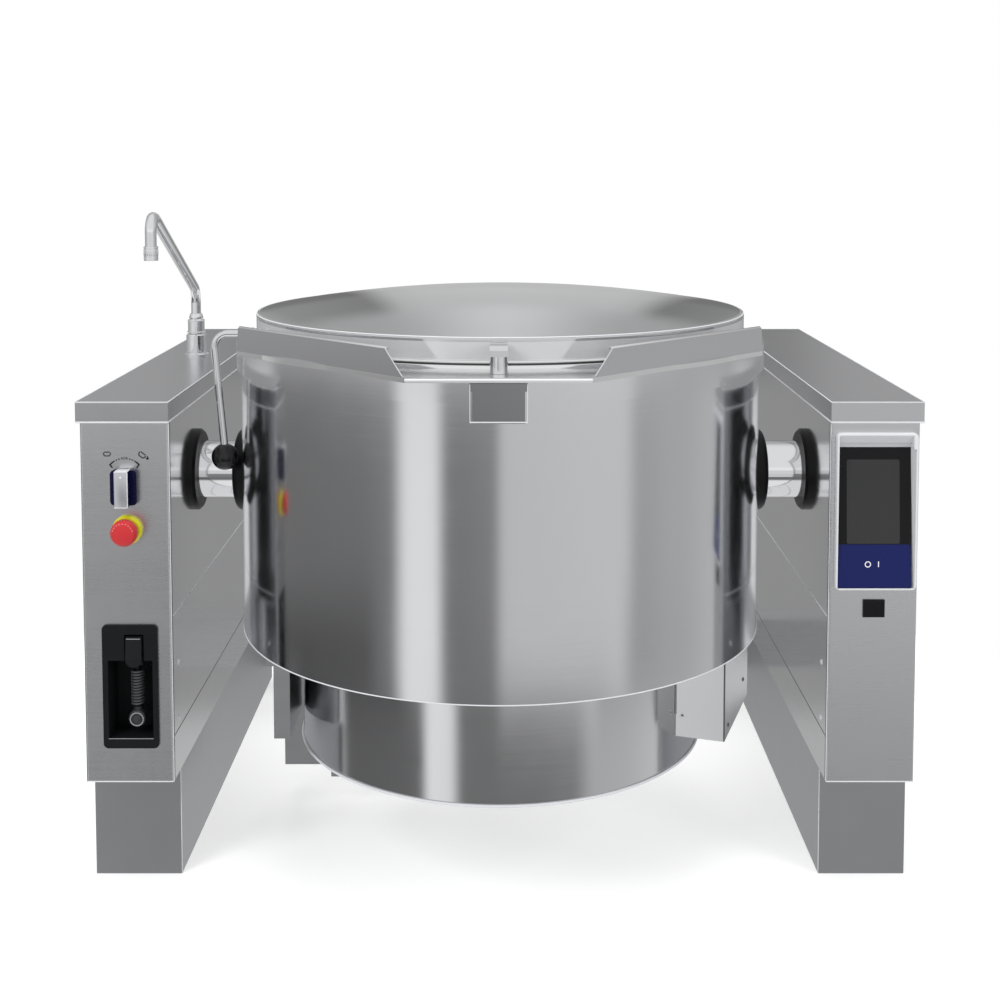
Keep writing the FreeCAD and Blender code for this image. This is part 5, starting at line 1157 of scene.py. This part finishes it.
@dataclass
class Seals:
    """Rubber rings where the tilting tubes enter the vessel shell."""

    outer: float = 0.0785
    inner: float = 0.0552

    def build(self) -> None:
        """Make the two rings with their rounded lips."""
        inner, outer = self.inner, self.outer
        corners = [
            (inner, 0.484), (outer, 0.484), (outer, 0.5015), (outer - 0.0015, 0.5055), (outer - 0.0055, 0.5095),
            (outer - 0.0125, 0.5120), (inner + 0.002, 0.5130), (inner, 0.5120), (inner, 0.484)]
        shape = Shape()
        for side in (-1.0, 1.0):
            shape.lathe(corners, TRUNNION_MIDDLE, (side, 0.0, 0.0), 64)
        shape.piece("shell_seal_rings", Finishes.rubber, Seat.SEAL, "shell_seals")


@dataclass
class ServiceBox:
    """Shadow joints and screw of the box under the right of the shell, with a highlight painted on the screw's
    washer and shade painted on its head.
    """

    left: Place = (0.3210, -0.3896)
    corner: Place = (0.4059, -0.4184)
    low: float = 0.282
    high: float = 0.4457
    screw_share: float = 0.14
    screw_height: float = 0.322
    washer: Sequence[Place] = (
        (0.0021, -0.0004), (0.0041, -0.0004), (0.0039, 0.0007), (0.0023, 0.0010), (0.0021, -0.0004))
    head: Sequence[Place] = ((0.0, 0.0012), (0.0014, 0.0010), (0.0021, 0.0003), (0.0021, -0.0004))

    def build(self) -> None:
        """Make the joint along the corner, the joint on the left and the screw."""
        (left, left_y), (corner, corner_y) = self.left, self.corner
        across, back = corner - left, corner_y - left_y
        turn = Matrix.Rotation(math.atan2(back, across), 4, "Z")
        middle, tall = (self.low + self.high) / 2.0, self.high - self.low
        joints = Shape()
        joints.block((corner - 0.0006, corner_y, middle), (0.0030, 0.0012, tall - 0.002), 0.0003, turn)
        joints.block((left + 0.0012, left_y - 0.0006, middle + 0.02), (0.0009, 0.0008, tall - 0.042), 0.0002, turn)
        joints.piece("service_joints", Finishes.seam, Seat.VESSEL)
        outward = tuple(Vector((back, -across, 0.0)).normalized())
        share = self.screw_share
        spot = tuple(Vector((left + share * across, left_y + share * back, self.screw_height)))
        # The washer is painted pale as a highlight halo and the screw head dark as painted shade.
        Shape().lathe(self.washer, spot, outward, 28).piece("service_washer_highlight", Finishes.pale_highlight, Seat.KETTLE_SCREW)
        Shape().lathe(self.head, spot, outward, 24).piece("service_screw_head", Finishes.seam, Seat.KETTLE_SCREW)


@dataclass
class Tap:
    """Rings, knurling and joint lines of the swivel tap."""

    place: Place = (-0.676, AXIS_Y + 0.401)
    collar_height: float = 0.9820
    collar: Sequence[Place] = (
        (0.0108, 0.0), (0.0150, 0.0), (0.0156, 0.002), (0.0140, 0.0085), (0.0122, 0.0120), (0.0108, 0.0125))
    outlet: Triple = (-0.645, AXIS_Y - 0.124, 1.147)
    ridges: int = 24
    ridge_radius: float = 0.0129
    ridge: Triple = (0.0012, 0.0016, 0.012)

    def build(self) -> None:
        """Make the rings and the knurled nozzle."""
        x, y = self.place
        rings = Shape().hoop((x, y, 0.9535), 0.0196, 0.0012, steps=40)
        rings.hoop((x, y, 0.9785), 0.0183, 0.0010, steps=40)
        rings.lathe(self.collar, (x, y, self.collar_height), steps=40)
        rings.piece("tap_rings", Finishes.chrome, Seat.TAP_BASE)
        knurl = Shape()
        x, y, z = self.outlet
        radius = self.ridge_radius
        for number in range(self.ridges):
            turn = FULL_TURN * number / self.ridges
            spot = (x + radius * math.cos(turn), y + radius * math.sin(turn), z + 0.015)
            knurl.block(spot, self.ridge, 0.0004, Matrix.Rotation(turn, 4, "Z"))
        for rise in (0.0245, 0.0045):
            knurl.hoop((x, y, z + rise), 0.0128, 0.0009, steps=32)
        knurl.piece("tap_knurl", Finishes.chrome, Seat.TAP_SPOUT)


@dataclass
class Bowl:
    """Level rings pressed into the wall of the boiling vessel."""

    radius: float = 0.4489
    wire: float = 0.0009
    levels: Sequence[float] = (0.60, 0.68, 0.76, 0.84, 0.92)

    def build(self) -> None:
        """Make the rings."""
        shape = Shape()
        for level in self.levels:
            shape.hoop((0.0, AXIS_Y, level), self.radius, self.wire, steps=96)
        shape.piece("level_rings", Finishes.edge, Seat.BOWL)


@dataclass
class Rear:
    """Louvres and screws of the rear panels."""

    back: float = 0.6955
    middles: Sequence[float] = (-0.675, 0.675)
    louvre_sunk: float = 0.0005
    louvre_levels: Sequence[float] = (0.30, 0.325, 0.35, 0.375, 0.40, 0.425)
    louvre: Sequence[Place] = (
        (0.0, -0.045), (0.0045, -0.043), (0.0055, -0.038), (0.0055, 0.038), (0.0045, 0.043), (0.0, 0.045))
    screw_sides: Sequence[float] = (-0.066, 0.066)
    screw_levels: Sequence[float] = (0.225, 0.535, 0.838)
    screw: Sequence[Place] = ((0.0, 0.0026), (0.0032, 0.0022), (0.0048, 0.0010), (0.0050, 0.0))

    def build(self) -> None:
        """Make the louvres and the screws."""
        louvres, screws = Shape(), Shape()
        for x in self.middles:
            for level in self.louvre_levels:
                louvres.lathe(self.louvre, (x, self.back - self.louvre_sunk, level), (1.0, 0.0, 0.0), 20)
            for side in self.screw_sides:
                for level in self.screw_levels:
                    screws.lathe(self.screw, (x + side, self.back, level), (0.0, 1.0, 0.0), 20)
        louvres.piece("rear_louvres", Finishes.front, Seat.PANEL)
        screws.piece("rear_screws", Finishes.screw, Seat.STAND_SCREW)


def dress_nodes() -> None:
    """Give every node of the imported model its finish."""
    for name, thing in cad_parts.items():
        finish = NODE_FINISHES[name].material()
        if not thing.material_slots:
            thing.data.materials.append(finish)
        for material_slot in thing.material_slots:
            material_slot.material = finish


@dataclass(frozen=True)
class Belt:
    """One belt of the world: the heights over which it fades in and its greys by compass degrees."""

    fade: Place
    greys: Sequence[Place]


BACK_LEFT: Sequence[Place] = ((-180, 0.29), (-165, 0.29), (-150, 1.0), (-118, 1.0))
BACK_RIGHT: Sequence[Place] = ((110, 0.60), (125, 1.0), (150, 1.0), (165, 0.29), (180, 0.29))
LOWEST_GREYS: Sequence[Place] = (
    (-180, 0.42), (-120, 0.75), (-106, 0.70), (-94, 0.14), (-46, 0.15), (-39, 0.98), (-29, 0.92), (-20, 0.19),
    (20, 0.17), (40, 0.22), (56, 0.52), (70, 0.55), (100, 0.66), (140, 0.8), (180, 0.42))
BELTS: Sequence[Belt] = (
    Belt((-0.365, -0.345), (
        *BACK_LEFT, (-106, 0.08), (-60, 0.09), (-48, 0.22), (-39, 0.98), (-28, 0.98), (-21.5, 0.21),
        (-4, 0.24), (3, 0.72), (50, 0.72), (60, 0.40), (80, 0.46), *BACK_RIGHT)),
    Belt((-0.32, -0.27), (
        *BACK_LEFT, (-104, 0.19), (-62, 0.20), (-47, 0.23), (-39, 0.98), (-28, 0.98), (-21.5, 0.22),
        (-3, 0.26), (2, 0.66), (53, 0.70), (61, 0.44), (80, 0.50), *BACK_RIGHT)),
    Belt((-0.152, -0.136), (
        (-180, 0.54), (-174.7, 0.54), (-173.3, 0.18), (-168, 0.20), (-160, 0.30), (-120, 0.4), (-90, 0.5),
        (-40, 0.8), (-10, 0.74), (10, 0.74), (40, 0.8), (90, 0.5), (120, 0.4), (160, 0.30), (168, 0.20),
        (171.8, 0.18), (173.4, 0.54), (180, 0.54))),
    Belt((0.06, 0.12), (
        (-180, 0.60), (-174.7, 0.57), (-173.3, 0.24), (-169, 0.30), (-167, 0.46), (-140, 0.5), (-90, 0.55),
        (-45, 0.95), (45, 0.95), (90, 0.55), (140, 0.5), (167, 0.46), (169, 0.26), (171.8, 0.22),
        (173.4, 0.57), (180, 0.60))),
    Belt((0.24, 0.34), (
        (-180, 0.72), (-172, 0.45), (-150, 0.45), (-45, 0.85), (45, 0.85), (150, 0.45), (172, 0.45),
        (180, 0.72))),
)


@dataclass(frozen=True)
class Lamp:
    """One soft lamp that points at the vessel and that steel doesn't mirror."""

    name: str
    place: Triple
    size: Place
    power: float

    def hang(self, aim: Triple) -> None:
        """Add the lamp.

        Args:
            aim: the point that it lights.
        """
        data = bpy.data.lights.new(self.name, "AREA")
        data.shape, data.energy = "RECTANGLE", self.power
        data.size, data.size_y = self.size
        thing = bpy.data.objects.new(self.name, data)
        thing.location = self.place
        thing.rotation_euler = (Vector(aim) - Vector(self.place)).to_track_quat("-Z", "Y").to_euler()
        thing.visible_glossy = False
        bpy.context.scene.collection.objects.link(thing)


@dataclass
class Studio:
    """Pale floor, white background, soft lamps and the camera."""

    floor_radius: float = 1.55
    floor_grey: float = 0.75
    floor_glow: float = 0.42
    ground_fade: Place = (-0.62, -0.50)
    ground: Triple = (0.90, 0.90, 0.90)
    overhead_fade: Place = (0.60, 0.95)
    overhead: Triple = (0.85, 0.85, 0.85)
    soft: Triple = (0.62, 0.62, 0.63)
    white: Triple = (1.0, 1.0, 1.0)
    aim: Triple = (0.0, AXIS_Y, 0.6)
    lamps: Sequence[Lamp] = (
        Lamp("key_lamp", (-2.6, -3.2, 3.2), (1.6, 1.6), 90.0),
        Lamp("fill_lamp", (3.2, -2.6, 2.4), (1.8, 1.8), 50.0),
        Lamp("top_lamp", (0.0, 0.2, 4.0), (3.0, 3.0), 90.0),
        Lamp("back_lamp", (0.0, 3.6, 2.6), (2.4, 1.6), 50.0))
    sensor: float = 36.0
    lens: float = 52.41
    shift: Place = (-0.0075, -0.24)
    eye: Triple = (0.0138, -2.9864, 1.3321)
    pitch: float = 3.92

    def build(self) -> None:
        """Make the floor, the world, the lamps and the camera."""
        self.floor()
        self.world()
        for lamp in self.lamps:
            lamp.hang(self.aim)
        self.camera()

    def floor(self) -> None:
        """Lay a white disc that keeps the shadow of the kettle."""
        mesh = bpy.data.meshes.new("floor")
        shape = bmesh.new()
        bmesh.ops.create_circle(shape, cap_ends=True, segments=96, radius=self.floor_radius)
        shape.to_mesh(mesh)
        shape.free()
        thing = bpy.data.objects.new("floor", mesh)
        bpy.context.scene.collection.objects.link(thing)
        material = bpy.data.materials.new("floor_paper")
        graph = Graph(material)
        seen = graph.ray("Is Camera Ray")
        lit = graph.make("ShaderNodeBsdfDiffuse", {}, {"Color": (*(self.floor_grey,) * 3, 1.0)})
        glow = graph.make("ShaderNodeEmission", {}, {"Color": (*self.white, 1.0), "Strength": self.floor_glow})
        both = graph.make("ShaderNodeAddShader", {}, {0: lit, 1: glow})
        graph.finish("ShaderNodeOutputMaterial", graph.make("ShaderNodeMixShader", {}, {0: seen, 1: lit, 2: both}))
        mesh.materials.append(material)
        thing.visible_glossy = False

    def world(self) -> None:
        """Surround the kettle with white, shaped by soft grey flags for what steel reflects."""
        world = bpy.data.worlds.new("studio")
        bpy.context.scene.world = world
        world.cycles.sampling_method = "NONE"
        graph = Graph(world)
        x, y, z = graph.make("ShaderNodeTexCoord", {}, {}, "Generated").axes()
        turn = x.angle_from(-y) / FULL_TURN + 0.5

        def ramp(greys: Sequence[Place]) -> Signal:
            """Return the grey of a belt in the direction of a ray."""
            stops = [(degrees / 360.0 + 0.5, (grey,) * 3) for degrees, grey in greys]
            return graph.make("ShaderNodeValToRGB", {"stops": stops, "curve": "EASE"}, {"Fac": turn})

        mirrored = ramp(LOWEST_GREYS)
        for belt in BELTS:
            mirrored = graph.blended(z.step(*belt.fade), mirrored, ramp(belt.greys))
        mirrored = graph.blended(z.step(*self.ground_fade), self.ground, mirrored)
        mirrored = graph.blended(z.step(*self.overhead_fade), mirrored, self.overhead)
        soft = graph.blended(graph.ray("Is Glossy Ray"), self.soft, mirrored)
        colour = graph.blended(graph.ray("Is Camera Ray"), soft, self.white)
        shader = graph.make("ShaderNodeBackground", {}, {"Color": colour, "Strength": 1.0})
        graph.finish("ShaderNodeOutputWorld", shader)

    def camera(self) -> None:
        """Stand the camera where the photograph was taken from."""
        data = bpy.data.cameras.new("camera")
        data.sensor_width = self.sensor
        data.lens = self.lens
        data.shift_x, data.shift_y = self.shift
        thing = bpy.data.objects.new("camera", data)
        thing.location = self.eye
        thing.rotation_euler = (math.radians(90.0 - self.pitch), 0.0, 0.0)
        bpy.context.scene.collection.objects.link(thing)
        bpy.context.scene.camera = thing


PARTS = (Selector, StopButton, Spray, ControlUnit, Edges, Seals, ServiceBox, Tap, Bowl, Rear, Studio)


def main() -> None:
    """Build every part of the scene in order."""
    bpy.context.scene.view_settings.view_transform = "Standard"
    dress_nodes()
    log.info("dressed %d nodes", len(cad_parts))
    for part in PARTS:
        part().build()
        log.info("%s ready", part.__name__)


if __name__ == "__main__":
    main()
